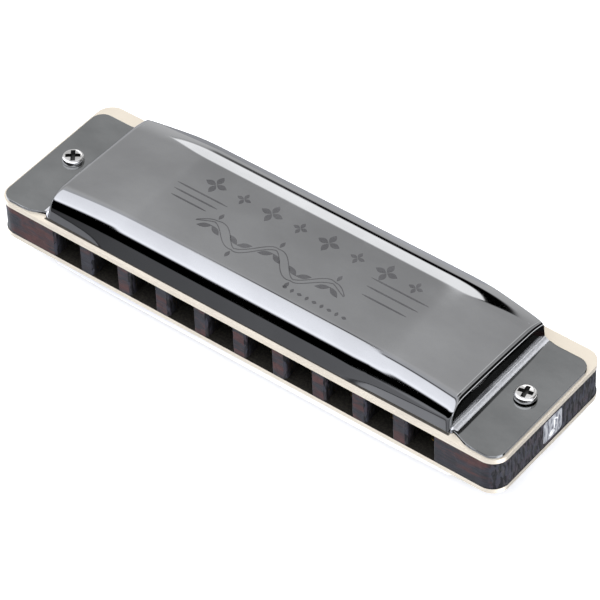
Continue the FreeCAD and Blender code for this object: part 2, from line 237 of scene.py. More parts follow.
class Effects:
    """Node groups shared by several finishes, each built once."""

    _made: dict[str, bpy.types.NodeTree] = {}

    @classmethod
    def _group(
        cls, name: str, vectors: Sequence[str], levels: Sequence[str], outputs: Sequence[str]
    ) -> tuple[bpy.types.NodeTree, Tree, bpy.types.Node, bpy.types.Node]:
        """Starts a group.

        Args:
            name: The group's name.
            vectors: Names of the vector inputs.
            levels: Names of the number inputs, which start at 1.
            outputs: Names of the outputs, all numbers.

        Returns:
            The node tree, its Tree, its input node and its output node.
        """
        tree = bpy.data.node_groups.new(name, "ShaderNodeTree")
        for label in vectors:
            tree.interface.new_socket(name=label, in_out="INPUT", socket_type="NodeSocketVector")
        for label in levels:
            socket = tree.interface.new_socket(name=label, in_out="INPUT", socket_type="NodeSocketFloat")
            socket.default_value = 1.0
        for label in outputs:
            tree.interface.new_socket(name=label, in_out="OUTPUT", socket_type="NodeSocketFloat")
        bench = Tree(tree)
        cls._made[name] = tree
        return tree, bench, bench.add("NodeGroupInput"), bench.add("NodeGroupOutput")

    @classmethod
    def handling(cls) -> bpy.types.NodeTree:
        """Fine hairline scratches, wiped smudges and specks of polished metal.

        Returns:
            A group with inputs Coordinates, Smudge and Scratch, and outputs Roughness, Tone and Height.
        """
        name = "handling_marks"
        if name in cls._made:
            return cls._made[name]
        tree, bench, source, result = cls._group(
            name, ("Coordinates",), ("Smudge", "Scratch"), ("Roughness", "Tone", "Height")
        )
        place = source.outputs["Coordinates"]
        cloud = bench.noise(bench.stretched(place, (70, 110, 110)), 1.0, 5.0, 0.6)
        wiped = bench.noise(bench.stretched(place, (60, 900, 900), (0, 0, 9)), 1.0, 3.0, 0.6)
        smudge = bench.math("MULTIPLY", bench.band(cloud, 0.42, 0.72), source.outputs["Smudge"])
        lines = []
        for turn, fine in ((7, 1700.0), (-21, 2300.0), (64, 2100.0)):
            streak = bench.noise(bench.stretched(place, (38, fine, fine), (0, 0, turn)), 1.0, 2.0, 0.7)
            lines.append(bench.band(streak, 0.70, 0.76))
        scratch = bench.math("MAXIMUM", bench.math("MAXIMUM", lines[0], lines[1]), lines[2])
        scratch = bench.math("MULTIPLY", scratch, source.outputs["Scratch"])
        rough = bench.math("ADD", bench.math("MULTIPLY", smudge, bench.math("ADD", 0.5, wiped)), scratch)
        bench.put(result.inputs["Roughness"], rough)
        bench.put(result.inputs["Tone"], bench.math("SUBTRACT", cloud, 0.5))
        bench.put(result.inputs["Height"], bench.math("SUBTRACT", wiped, scratch))
        return tree

    @classmethod
    def grain(cls) -> bpy.types.NodeTree:
        """Fibres, pores and redder streaks of a stained wood whose fibres run along X.

        Returns:
            A group with inputs Coordinates and Facing, and outputs Streak, Pore, Red and Height.
        """
        name = "wood_grain"
        if name in cls._made:
            return cls._made[name]
        tree, bench, source, result = cls._group(
            name, ("Coordinates", "Facing"), (), ("Streak", "Pore", "Red", "Height")
        )
        place = source.outputs["Coordinates"]
        sway = bench.add("TexNoise", Vector=place, Scale=420.0, Detail=2.0)
        offset = bench.add("VectorMath", {"operation": "SCALE"}, Scale=0.0007)
        bench.put(offset.inputs[0], sway.outputs["Color"])
        moved = bench.add("VectorMath", {"operation": "ADD"})
        bench.put(moved.inputs[0], place)
        bench.put(moved.inputs[1], offset.outputs[0])
        bent = moved.outputs[0]
        slant = (-17, 0, 0)
        long = bench.noise(bench.stretched(bent, Fibre.LONG.value), 1.0, 4.0, 0.65)
        end = bench.noise(bench.stretched(bent, Fibre.END.value, slant), 1.0, 2.5, 0.6)
        pore = bench.noise(bench.stretched(bent, Fibre.PORE.value, slant), 1.0, 1.0, 0.5)
        patch = bench.noise(bench.stretched(place, (110, 300, 520)), 1.0, 4.0, 0.65)
        facing = bench.add("SeparateXYZ", Vector=source.outputs["Facing"]).outputs["X"]
        facing = bench.band(bench.math("ABSOLUTE", facing), 0.25, 0.75)
        side = bench.band(long, 0.38, 0.66, 0.25, 0.75)
        ends = bench.band(end, 0.42, 0.52, 0.25, 1.6)
        away = bench.math("SUBTRACT", 1.0, facing)
        streak = bench.math("MULTIPLY_ADD", ends, facing, bench.math("MULTIPLY", side, away))
        holes = bench.band(pore, 0.50, 0.53)
        holes = bench.math("MULTIPLY", holes, bench.math("MULTIPLY_ADD", facing, 0.8, 0.2))
        red = bench.band(patch, 0.44, 0.60)
        red = bench.math("MULTIPLY", red, bench.math("MULTIPLY_ADD", facing, -0.8, 1.0))
        height = bench.math("SUBTRACT", bench.math("MULTIPLY", streak, 0.6), holes)
        for label, value in (("Streak", streak), ("Pore", holes), ("Red", red), ("Height", height)):
            bench.put(result.inputs[label], value)
        return tree


# ---- finishes --------------------------------------------------------------------------------
@dataclass(frozen=True)
class Finish:
    """What every finish shares: a name and a Principled surface on Object coordinates."""

    name: str

    def start(self) -> tuple[Tree, bpy.types.Node, Socket, Material]:
        """Makes the material with its surface shader.

        Returns:
            The Tree, the Principled node, the Object coordinates and the material.
        """
        material = bpy.data.materials.new(self.name)
        material.use_nodes = True
        bench = Tree(material.node_tree)
        surface = bench.add("BsdfPrincipled")
        output = bench.add("OutputMaterial")
        bench.put(output.inputs["Surface"], surface.outputs[0])
        place = bench.add("TexCoord").outputs["Object"]
        return bench, surface, place, material

    def handled(self, bench: Tree, place: object, scratches: float) -> bpy.types.Node:
        """Places the handling marks with their share of scratches."""
        group = {"node_tree": Effects.handling()}
        return bench.add("Group", group, Coordinates=place, Smudge=1.0, Scratch=scratches)

    def grained(self, bench: Tree, place: object) -> bpy.types.Node:
        """Places the wood grain, turned by the way each face looks."""
        facing = bench.add("TexCoord").outputs["Normal"]
        return bench.add("Group", {"node_tree": Effects.grain()}, Coordinates=place, Facing=facing)

    def bump(
        self, bench: Tree, surface: bpy.types.Node, height: object, strength: float, depth: float
    ) -> None:
        """Joins a height to the surface's normal.

        Args:
            bench: The material's Tree.
            surface: The Principled node.
            height: The height's socket.
            strength: The Bump node's strength.
            depth: Its distance in millimetres.
        """
        node = bench.add("Bump", Height=height, Strength=strength, Distance=depth * MM)
        bench.put(surface.inputs["Normal"], node.outputs[0])


@dataclass(frozen=True)
class PolishedMetal(Finish):
    """Plated or rolled metal with handling marks."""

    tint: Colour = (0.3, 0.3, 0.3)
    shade: Colour = (0.2, 0.2, 0.2)
    shine: float = 0.06
    marks: float = 0.1
    scratches: float = 0.3
    metallic: float = 1.0
    mottle: float = 0.0
    depth: float = 0.002

    def build(self) -> Material:
        """Makes the material.

        Returns:
            The finished material.
        """
        bench, surface, place, material = self.start()
        marks = self.handled(bench, place, self.scratches)
        rough = bench.math("MULTIPLY_ADD", marks.outputs["Roughness"], self.marks, self.shine)
        tone = bench.band(marks.outputs["Tone"], -0.25, 0.25)
        height = marks.outputs["Height"]
        if self.mottle:
            pebble = bench.noise(bench.stretched(place, (1500, 1500, 1500)), 1.0, 3.0, 0.6)
            rough = bench.math("ADD", rough, bench.math("MULTIPLY", pebble, self.mottle))
            height = bench.math("ADD", height, bench.math("MULTIPLY", pebble, 2.0))
        bench.put(surface.inputs["Base Color"], bench.mix(tone, self.shade, self.tint))
        bench.put(surface.inputs["Roughness"], bench.math("MAXIMUM", rough, 0.02, clamp=True))
        surface.inputs["Metallic"].default_value = self.metallic
        self.bump(bench, surface, height, 0.25, self.depth)
        return material


@dataclass(frozen=True)
class CoverChrome(PolishedMetal):
    """Black chrome, drawn rough where the sheet turns into its ears, with a painted highlight there."""

    flare: float = 40.2
    flare_width: float = 0.12
    flare_low: float = 4.8
    flare_high: float = 5.3
    rough: float = 0.40
    # Painted highlight: a pale colour where the sheet turns into its ears.
    drawn: Colour = (0.78, 0.79, 0.82)
    flare_highlight_share: float = 0.9

    def build(self) -> Material:
        """Makes the material.

        Returns:
            The finished material.
        """
        material = super().build()
        bench = Tree(material.node_tree, empty=False)
        surface = next(node for node in bench.tree.nodes if node.type == "BSDF_PRINCIPLED")
        place = bench.add("TexCoord").outputs["Object"]
        parts = bench.add("SeparateXYZ", Vector=place)
        reach = bench.math("ABSOLUTE", parts.outputs["X"])
        away = bench.apart(parts.outputs["Z"], COMB_MIDDLE * MM)
        turned = bench.band(reach, self.flare * MM, (self.flare + self.flare_width) * MM)
        low = bench.band(away, self.flare_low * MM, self.flare_high * MM, 1.0, 0.0)
        turned = bench.math("MULTIPLY", turned, low)
        speck = bench.noise(bench.stretched(place, (5200, 2200, 5200)), 1.0, 3.0, 0.7)
        turned = bench.math("MULTIPLY", turned, bench.math("MULTIPLY_ADD", speck, 1.2, 0.3))
        before = surface.inputs["Roughness"].links[0].from_socket
        rough = bench.math("MULTIPLY_ADD", turned, self.rough, before, clamp=True)
        bench.put(surface.inputs["Roughness"], rough)
        # The added roughness is the real satin of the flare; the pale colour mixed in here is a painted
        # highlight.
        plain = surface.inputs["Base Color"].links[0].from_socket
        share = bench.math("MULTIPLY", turned, self.flare_highlight_share)
        bench.put(surface.inputs["Base Color"], bench.mix(share, plain, self.drawn))
        return material


@dataclass(frozen=True)
class PlateMetal(Finish):
    """Pale rolled metal of the reed plates, with painted shade: near black where it faces the chambers and
    along the seam under the cover's foot, and darker inboard of the front strip.
    """

    pale: Colour = (0.83, 0.755, 0.63)
    # Worn tone, and also the painted shade of the plate top inboard of the front strip.
    worn: Colour = (0.60, 0.54, 0.445)
    # Painted shade: this near-black colour and the speck below go on the faces toward the chambers and on the
    # seam under the cover's foot.
    painted_shade: Colour = (0.030, 0.027, 0.020)
    speck: Colour = (0.012, 0.010, 0.008)
    scratches: float = 0.4
    metallic: float = 0.60
    face: float = 2.8
    # A painted shadow line on the plate top along the seam under the cover's foot.
    seam: float = -13.30
    seam_inner: float = 0.22
    seam_outer: float = 0.30
    seam_shadow_depth: float = 0.93
    seam_end: float = 40.2
    seam_fade: float = 0.3
    # Painted shade: the plate top is darker inboard of the pale front strip.
    inboard_shade: Step = (-13.2 * MM, -11.8 * MM, 1.0, 0.25)

    def build(self) -> Material:
        """Makes the material.

        Returns:
            The finished material.
        """
        bench, surface, place, material = self.start()
        marks = self.handled(bench, place, self.scratches)
        tone = bench.band(marks.outputs["Tone"], -0.22, 0.22)
        edge = bench.noise(bench.stretched(place, (420, 420, 5200)), 1.0, 3.0, 0.7)
        tone = bench.math("MULTIPLY_ADD", tone, 0.4, 0.25)
        tone = bench.math("ADD", tone, bench.math("MULTIPLY", edge, 0.6), clamp=True)
        parts = bench.add("SeparateXYZ", Vector=place)
        away = bench.apart(parts.outputs["Z"], COMB_MIDDLE * MM)
        # Painted shade on the faces that look into the chambers, then the painted shadow along the seam.
        inner = bench.band(away, (self.face + 0.004) * MM, (self.face + 0.02) * MM, 1.0, 0.0)
        seam = bench.apart(parts.outputs["Y"], self.seam * MM)
        seam = bench.band(seam, self.seam_inner * MM, self.seam_outer * MM, 1.0, 0.0)
        reach = bench.math("ABSOLUTE", parts.outputs["X"])
        along = bench.band(reach, self.seam_end * MM, (self.seam_end + self.seam_fade) * MM, 1.0, 0.0)
        seam = bench.math("MULTIPLY", seam, along)
        inner = bench.math("MAXIMUM", inner, bench.math("MULTIPLY", seam, self.seam_shadow_depth))
        # The painted shade's colour, speckled by noise.
        shade_speckle = bench.band(bench.noise(bench.stretched(place, (2600, 2600, 2600)), 1.0, 3.0, 0.7), 0.40, 0.62)
        dark = bench.mix(shade_speckle, self.speck, self.painted_shade)
        # Painted shade that darkens the plate top inboard of the front strip.
        inboard_shade = bench.band(parts.outputs["Y"], *self.inboard_shade)
        bright = bench.mix(bench.math("MULTIPLY", tone, inboard_shade), self.worn, self.pale)
        bench.put(surface.inputs["Base Color"], bench.mix(inner, bright, dark))
        rough = bench.math("MULTIPLY_ADD", marks.outputs["Roughness"], 0.15, 0.34)
        bench.put(surface.inputs["Roughness"], bench.math("MULTIPLY_ADD", inner, 0.3, rough, clamp=True))
        surface.inputs["Metallic"].default_value = self.metallic
        self.bump(bench, surface, bench.math("ADD", marks.outputs["Height"], edge), 0.3, 0.004)
        return material


@dataclass(frozen=True)
class StainedWood(Finish):
    """Dark stained hardwood of the comb, with open pores, redder streaks and painted shade inside its
    chambers.
    """

    dark: Colour = (0.005, 0.005, 0.008)
    light: Colour = (0.034, 0.036, 0.050)
    red: Colour = (0.082, 0.022, 0.018)
    pore: Colour = (0.002, 0.002, 0.003)
    # Painted shade inside the chambers, from the mouth to the back and out to the last channel.
    shade: Colour = (0.0015, 0.0014, 0.0013)
    specular: float = 0.26
    mouth: float = -13.75
    mouth_fade: float = 1.2
    back: float = 12.5
    back_fade: float = 0.3
    last_channel: float = 42.0
    channel_fade: float = 1.0

    def build(self) -> Material:
        """Makes the material.

        Returns:
            The finished material.
        """
        bench, surface, place, material = self.start()
        grain = self.grained(bench, place)
        colour = bench.mix(grain.outputs["Streak"], self.dark, self.light)
        warm = bench.math("MULTIPLY", grain.outputs["Red"], 0.75)
        colour = bench.mix(warm, colour, self.red)
        colour = bench.mix(bench.math("MULTIPLY", grain.outputs["Pore"], 0.9), colour, self.pore)
        parts = bench.add("SeparateXYZ", Vector=place)
        # Painted shade: near black inside the chambers.
        chamber_shade = bench.window(
            parts.outputs["Y"],
            (self.mouth * MM, (self.mouth + self.mouth_fade) * MM),
            (self.back * MM, (self.back + self.back_fade) * MM),
        )
        reach = bench.math("ABSOLUTE", parts.outputs["X"])
        end = self.last_channel + self.channel_fade
        last = bench.band(reach, self.last_channel * MM, end * MM, 1.0, 0.0)
        chamber_shade = bench.math("MULTIPLY", chamber_shade, last)
        colour = bench.mix(bench.math("MULTIPLY", chamber_shade, 0.85), colour, self.shade)
        bench.put(surface.inputs["Base Color"], colour)
        rough = bench.math("MULTIPLY_ADD", grain.outputs["Streak"], 0.18, 0.42)
        bench.put(surface.inputs["Roughness"], rough)
        surface.inputs["Specular IOR Level"].default_value = self.specular
        self.bump(bench, surface, grain.outputs["Height"], 0.6, 0.06)
        return material


@dataclass(frozen=True)
class PaleMark(Finish):
    """Pale print on the wood, worn so that the grain shows through it."""

    paint: Colour = (0.42, 0.43, 0.45)
    wood: Colour = (0.10, 0.105, 0.13)
    cover: float = 0.5

    def build(self) -> Material:
        """Makes the material.

        Returns:
            The finished material.
        """
        bench, surface, place, material = self.start()
        grain = self.grained(bench, place)
        worn = bench.math("MULTIPLY_ADD", grain.outputs["Streak"], 0.5, self.cover - 0.25, clamp=True)
        worn = bench.math("SUBTRACT", worn, bench.math("MULTIPLY", grain.outputs["Pore"], 0.35), clamp=True)
        bench.put(surface.inputs["Base Color"], bench.mix(worn, self.wood, self.paint))
        bench.put(surface.inputs["Roughness"], bench.math("MULTIPLY_ADD", grain.outputs["Streak"], 0.2, 0.45))
        self.bump(bench, surface, grain.outputs["Height"], 0.4, 0.03)
        return material


@dataclass(frozen=True)
class Finishes:
    """Every finish of the instrument."""

    chrome: PolishedMetal = CoverChrome(
        "black_chrome", (0.304, 0.307, 0.311), (0.267, 0.269, 0.273), shine=0.04, marks=0.06, scratches=0.35
    )
    satin: PolishedMetal = PolishedMetal(
        "satin_black_chrome", (0.244, 0.249, 0.250), (0.182, 0.187, 0.188),
        shine=0.045, marks=0.035, scratches=0.25, mottle=0.03,
    )
    etched: PolishedMetal = PolishedMetal(
        "etched_chrome", (0.155, 0.155, 0.16), (0.115, 0.115, 0.12), shine=0.16, marks=0.08, mottle=0.06
    )
    plate: PlateMetal = PlateMetal("rolled_plate")
    brass: PolishedMetal = PolishedMetal(
        "reed_brass", (0.74, 0.56, 0.26), (0.60, 0.44, 0.20), shine=0.22, marks=0.18, scratches=1.0
    )
    rivet: PolishedMetal = PolishedMetal(
        "rivet_brass", (0.80, 0.62, 0.32), (0.66, 0.50, 0.24), shine=0.26, marks=0.16
    )
    plate_screw: PolishedMetal = PolishedMetal(
        "plate_screw_brass", (0.78, 0.62, 0.34), (0.62, 0.48, 0.25), shine=0.20, marks=0.2
    )
    steel: PolishedMetal = PolishedMetal(
        "screw_steel", (0.64, 0.63, 0.615), (0.47, 0.465, 0.46), shine=0.09, marks=0.14, scratches=0.8
    )
    # Painted shade: the cross recess in the screw heads is nearly black.
    recess: PolishedMetal = PolishedMetal(
        "recess_painted_shade", (0.06, 0.058, 0.055), (0.03, 0.03, 0.03), shine=0.30, marks=0.2, metallic=0.8
    )
    nut: PolishedMetal = PolishedMetal(
        "nut_steel", (0.72, 0.72, 0.73), (0.55, 0.55, 0.57), shine=0.20, marks=0.2, scratches=0.8
    )
    wood: StainedWood = StainedWood("stained_comb_wood")
    mark: PaleMark = PaleMark("key_mark_ground", cover=0.35)
    glyph: PaleMark = PaleMark("key_mark_glyph", (0.86, 0.87, 0.88), (0.50, 0.50, 0.52), cover=0.85)


# ---- mesh bench ------------------------------------------------------------------------------
class Bench:
    """Turns finished bmeshes into pieces in the frame."""

    @staticmethod
    def place(mesh: Mesh, side: Side = Side.UPPER) -> None:
        """Moves a mesh from millimetres about the comb's middle to the frame.

        Args:
            mesh: The mesh to move.
            side: LOWER mirrors it to the underside.
        """
        bmesh.ops.scale(mesh, vec=Vector((MM, MM, MM * side.value)), verts=mesh.verts)
        bmesh.ops.translate(mesh, vec=Vector((0, 0, COMB_MIDDLE * MM)), verts=mesh.verts)
        if side is Side.LOWER:
            bmesh.ops.reverse_faces(mesh, faces=mesh.faces)

    @staticmethod
    def piece(
        name: str, mesh: Mesh, material: Material, smooth: float = 40.0
    ) -> Piece:
        """Makes an object of a placed mesh.

        Args:
            name: The piece's name.
            mesh: The mesh, which is freed.
            material: Its finish.
            smooth: Edges sharper than this many degrees stay hard, and so do open edges.

        Returns:
            The new object, riding on nothing yet.
        """
        for face in mesh.faces:
            face.smooth = True
        for edge in mesh.edges:
            edge.smooth = len(edge.link_faces) == 2 and edge.calc_face_angle(0.0) < math.radians(smooth)
        data = bpy.data.meshes.new(name)
        mesh.to_mesh(data)
        mesh.free()
        data.materials.append(material)
        made = bpy.data.objects.new(name, data)
        bpy.context.scene.collection.objects.link(made)
        return made

    @staticmethod
    def grid(columns: int, rows: int, rule: Callable[[float, float], Sequence[float]]) -> Mesh:
        """Makes a grid sheet and moves each vertex by a rule.

        Args:
            columns: Vertices along the first direction.
            rows: Vertices along the second.
            rule: Gives a point from two shares between 0 and 1.

        Returns:
            The sheet.
        """
        mesh = bmesh.new()
        bmesh.ops.create_grid(mesh, x_segments=columns - 1, y_segments=rows - 1, size=1.0)
        for vertex in mesh.verts:
            vertex.co = Vector(rule((vertex.co.x + 1) / 2, (vertex.co.y + 1) / 2))
        return mesh

    @staticmethod
    def bevel(
        mesh: Mesh, edges: Sequence[bmesh.types.BMEdge], width: float, segments: int
    ) -> None:
        """Rounds edges.

        Args:
            mesh: The mesh.
            edges: The edges to round.
            width: The bevel's width.
            segments: Its number of faces.
        """
        bmesh.ops.bevel(
            mesh, geom=list(edges), offset=width, offset_type="OFFSET", segments=segments, profile=0.5,
            affect="EDGES", material=-1, clamp_overlap=True,
        )


def about_z(angle: float) -> Matrix:
    """A turn about Z in degrees."""
    return Matrix.Rotation(math.radians(angle), 3, "Z")


def eased(share: float | np.ndarray) -> float | np.ndarray:
    """A share between 0 and 1 with a soft start and end."""
    return share * share * (3 - 2 * share)


# ---- covers ----------------------------------------------------------------------------------
@dataclass(frozen=True)
class CoverForm:
    """The pressed form of a cover, as a height over each point of its plan."""

    top: float = 9.385
    sheet: float = 0.45
    base: float = 3.71
    ledge: float = 4.15
    front_foot: float = -13.4
    front_slope: float = 75.0
    front_radius: float = 4.0
    rear_edge: float = 13.65
    rear_height: float = 7.7
    rear_slope: float = 27.0
    rear_radius: float = 9.5
    rear_bend: float = 27.2
    rear_bend_end: float = 30.8
    rear_rate: float = 0.1276
    end_foot: float = 40.25
    end_lean: float = 6.0
    end_radius: float = 1.0
    corner_radius: float = 0.75
    flare: float = 0.9
    fall_start: float = 24.0
    fall_end: float = 39.7
    fall_front: float = 0.9
    fall_rear: float = 2.4
    crown: float = 0.13
    crown_middle: float = -0.4
    crown_half: float = 8.4
    step_start: float = 39.7
    step_width: float = 0.8
    foot_least: float = 0.02
    bend_start_low: float = 28.6
    bend_start_high: float = 21.2
    bend_rise: float = 1.4
    bend_reach: float = 1.6
    bend_climb: float = 0.055
    bend_slope: float = 0.145
    bend_blend: float = 0.2
    waist: float = 0.75

    def front_centre(self) -> float:
        """Finds the front fillet.

        Returns:
            Y of the fillet's middle.
        """
        turn = math.radians(self.front_slope)
        level = self.top - self.front_radius
        return self.front_foot + (self.front_radius + math.cos(turn) * (level - self.base)) / math.sin(turn)

    def rear_centre(self) -> float:
        """Finds the rear fillet.

        Returns:
            Y of the fillet's middle.
        """
        turn = math.radians(self.rear_slope)
        level = self.top - self.rear_radius
        inset = math.cos(turn) * (self.rear_height - level) - self.rear_radius
        return self.rear_edge + inset / math.sin(turn)

    def rear_line(self, x: float) -> float:
        """Y of the rear edge.

        Args:
            x: Place along the length.

        Returns:
            The edge's Y, straight in the middle and drawn in towards the ends.
        """
        reach = abs(x)
        if reach <= self.rear_bend:
            return self.rear_edge
        width = self.rear_bend_end - self.rear_bend
        if reach < self.rear_bend_end:
            return self.rear_edge - self.rear_rate * (reach - self.rear_bend) ** 2 / (2 * width)
        return self.rear_edge - self.rear_rate * (reach - self.rear_bend - width / 2)

    def bend(self, x: np.ndarray, z: np.ndarray) -> np.ndarray:
        """How far the lower front wall is drawn in towards its two ends.

        Args:
            x: X of each point.
            z: Height of each point.

        Returns:
            The distances along Y.
        """
        beyond = np.clip(np.abs(x) - np.where(x < 0, self.bend_start_low, self.bend_start_high), 0, None)
        rise = self.bend_rise * (1 - np.exp(-beyond / self.bend_reach)) + self.bend_climb * beyond
        below = np.clip(self.base + rise - z, 0, None)
        return self.bend_slope * (np.hypot(below, self.bend_blend) - self.bend_blend)

    def section(self, y: np.ndarray, z: np.ndarray) -> np.ndarray:
        """Distance outside the cover's cross section.

        Args:
            y: Y of each point.
            z: Height of each point.

        Returns:
            The distances, negative inside.
        """
        front, rear = math.radians(self.front_slope), math.radians(self.rear_slope)
        y_front, y_rear = self.front_centre(), self.rear_centre()
        wall = -math.sin(front) * (y - self.front_foot) + math.cos(front) * (z - self.base)
        slope = math.sin(rear) * (y - self.rear_edge) + math.cos(rear) * (z - self.rear_height)
        z_front, z_rear = self.top - self.front_radius, self.top - self.rear_radius
        round_front = np.hypot(y - y_front, z - z_front) - self.front_radius
        round_rear = np.hypot(y - y_rear, z - z_rear) - self.rear_radius
        in_front = np.arctan2(y_front - y, z - z_front)
        in_rear = np.arctan2(y - y_rear, z - z_rear)
        flat = z - self.top
        ahead = np.where((in_front > 0) & (in_front < front), round_front, np.maximum(wall, flat))
        behind = np.where((in_rear > 0) & (in_rear < rear), round_rear, np.maximum(slope, flat))
        return np.where(y < y_front, ahead, np.where(y > y_rear, behind, flat))

    def outside(self, x: np.ndarray, y: np.ndarray, z: np.ndarray) -> np.ndarray:
        """Distance outside the whole pressed form.

        Args:
            x: X of each point.
            y: Y of each point.
            z: Height of each point.

        Returns:
            The distances, negative inside.
        """
        reach = np.abs(x)
        share = np.clip((reach - self.fall_start) / (self.fall_end - self.fall_start), 0, 1.2)
        along = np.clip((y - self.front_foot) / (self.rear_edge - self.front_foot), 0, 1)
        fall = (self.fall_front + (self.fall_rear - self.fall_front) * along) * share**2
        across = np.abs(y - self.crown_middle) / self.crown_half
        crowned = self.crown * np.where(across < 1, across**2, 2 * across - 1)
        lift = np.clip((z - self.base) / (self.top - self.base), 0, 1)
        drawn = np.where(y < self.front_centre(), y - self.bend(x, z), y)
        side = self.section(drawn, z + (fall + crowned) * lift)
        lean = math.radians(self.end_lean)
        end = math.cos(lean) * (reach - self.end_foot) + math.sin(lean) * (z - self.ledge)
        radius = self.corner_radius + (self.end_radius - self.corner_radius) * lift
        solid = np.minimum(-radius, np.maximum(side, end))
        solid = solid + np.hypot(np.maximum(radius + side, 0), np.maximum(radius + end, 0))
        step = eased(np.clip((reach - self.step_start) / self.step_width, 0, 1))
        ground = z - (self.base + (self.ledge - self.base) * step)
        foot = self.foot_least + (self.flare - self.foot_least) * step
        joined = np.maximum(foot, np.minimum(solid, ground))
        return joined - np.hypot(np.maximum(foot - solid, 0), np.maximum(foot - ground, 0))

    def height(self, x: np.ndarray, y: np.ndarray) -> np.ndarray:
        """Height of the form's outside over each point of its plan.

        Args:
            x: X of each point.
            y: Y of each point.

        Returns:
            The heights.
        """
        low = np.full_like(x, self.base - 0.3)
        high = np.full_like(x, self.top + 0.01)
        for _ in range(34):
            middle = (low + high) / 2
            inside = self.outside(x, y, middle) < 0
            low = np.where(inside, middle, low)
            high = np.where(inside, high, middle)
        return (low + high) / 2


@dataclass
class Cover:
    """A pressed cover: its shell, the rolled hem of its open back and its two screwed ears."""

    side: Side
    form: CoverForm = field(default_factory=CoverForm)
    hem_back: float = 2.2
    nose: float = 0.40
    hem_reach: float = 38.6
    ear_tip: float = 49.5
    ear_front: float = -13.8
    ear_rear: float = 11.5
    ear_waist: float = 12.4
    ear_edge: float = 0.09
    wall_top: float = 38.3
    wall_middle: float = 39.75
    wall_foot: float = 40.35
    ear_join: float = 41.2
    lift: float = 0.014
    tuck_start: float = -0.1
    tuck_width: float = 0.6
    hem_root: float = -0.25
    hem_gap: float = 0.02
    hem_sheet: float = 0.36
    hem_tip: float = 0.12

    def _stations(self) -> np.ndarray:
        """Spaces the shell's columns, close together at its end walls.

        Returns:
            X of each column.
        """
        form = self.form
        half = np.concatenate([
            np.linspace(0, form.fall_start, 9)[:-1],
            np.linspace(form.fall_start, self.wall_top, 30)[:-1],
            np.linspace(self.wall_top, self.wall_middle, 24)[:-1],
            np.linspace(self.wall_middle, self.wall_foot, 22)[:-1],
            np.linspace(self.wall_foot, self.ear_join, 14),
        ])
        return np.concatenate([-half[:0:-1], half])

    def _rows(self) -> np.ndarray:
        """Spaces the shell's rows where its rear edge is straight.

        Returns:
            Y of each row.
        """
        form = self.form
        turn = math.radians(form.front_slope)
        wall_end = form.front_centre() - form.front_radius * math.sin(turn)
        bend = np.linspace(turn, 0, 26)
        front = form.front_centre() - form.front_radius * np.sin(bend)
        return np.concatenate([
            np.linspace(form.front_foot + self.lift, wall_end, 16)[:-1],
            front[:-1],
            np.linspace(form.front_centre(), form.rear_centre(), 20)[:-1],
            np.linspace(form.rear_centre(), form.rear_edge, 24),
        ])

    def _sheet_edge(self, x: float) -> float:
        """Y where the sheet turns into its rolled hem."""
        return self.form.rear_line(x) - self.nose * math.cos(math.radians(self.form.rear_slope))

    def _shell(self, material: Material) -> Piece:
        """Builds the pressed shell.

        Args:
            material: Its finish.

        Returns:
            The shell, given its sheet thickness by a modifier.
        """
        form = self.form
        columns, rows = self._stations(), self._rows()
        start, ahead = form.rear_centre(), form.front_centre()
        mesh = bmesh.new()
        bmesh.ops.create_grid(mesh, x_segments=len(columns) - 1, y_segments=len(rows) - 1, size=1.0)
        places = []
        for vertex in mesh.verts:
            x = float(columns[round((vertex.co.x + 1) / 2 * (len(columns) - 1))])
            y = float(rows[round((vertex.co.y + 1) / 2 * (len(rows) - 1))])
            if y < ahead:
                tuck = min(1.0, max(0.0, (abs(x) - form.end_foot - self.tuck_start) / self.tuck_width))
                inset = form.waist * eased(tuck) + float(form.bend(x, form.base))
                y += inset * (ahead - y) / (ahead - form.front_foot)
            if y > start:
                y = start + (y - start) / (form.rear_edge - start) * (self._sheet_edge(x) - start)
            places.append((x, y))
        plan = np.array(places)
        heights = form.height(plan[:, 0], plan[:, 1])
        for vertex, (x, y), z in zip(mesh.verts, places, heights):
            vertex.co = Vector((x, y, float(z)))
        Bench.place(mesh, self.side)
        shell = Bench.piece(f"{self.side.name.lower()}_cover_shell", mesh, material, 180.0)
        wall = shell.modifiers.new("sheet", "SOLIDIFY")
        wall.thickness = form.sheet * MM
        wall.offset = -1.0
        return shell

    def _hem(self, material: Material) -> Piece:
        """Builds the hem rolled under the rear edge.

        Args:
            material: Its finish.

        Returns:
            The hem.
        """
        form = self.form
        stations = np.linspace(-self.hem_reach, self.hem_reach, 97)
        edges = np.array([self._sheet_edge(float(x)) for x in stations])
        heights = form.height(stations, edges)
        turn = math.radians(form.rear_slope)
        radius = self.nose
        arc = [(radius * math.sin(a), radius - radius * math.cos(a)) for a in np.linspace(0, math.pi, 13)]
        inner = 2 * radius - self.hem_sheet
        root = (self.hem_root, self.hem_gap)
        tip = (-self.hem_back - self.hem_tip, 2 * radius - self.hem_sheet / 2)
        outline = [root, *arc, (-self.hem_back, 2 * radius), tip]
        outline += [(-self.hem_back, inner), (self.hem_root, inner), root]

        def rule(u: float, v: float) -> tuple[float, float, float]:
            """Finds a point of the hem.

            Args:
                u: Share along the edge.
                v: Share round the section.

            Returns:
                The point.
            """
            index = round(u * (len(stations) - 1))
            out, down = outline[round(v * (len(outline) - 1))]
            y = edges[index] + out * math.cos(turn) - down * math.sin(turn)
            z = heights[index] - out * math.sin(turn) - down * math.cos(turn)
            return float(stations[index]), float(y), float(z)

        mesh = Bench.grid(len(stations), len(outline), rule)
        bmesh.ops.remove_doubles(mesh, verts=mesh.verts, dist=1e-4)
        bmesh.ops.holes_fill(mesh, edges=[edge for edge in mesh.edges if edge.is_boundary], sides=0)
        bmesh.ops.recalc_face_normals(mesh, faces=mesh.faces)
        Bench.place(mesh, self.side)
        return Bench.piece(f"{self.side.name.lower()}_cover_hem", mesh, material)

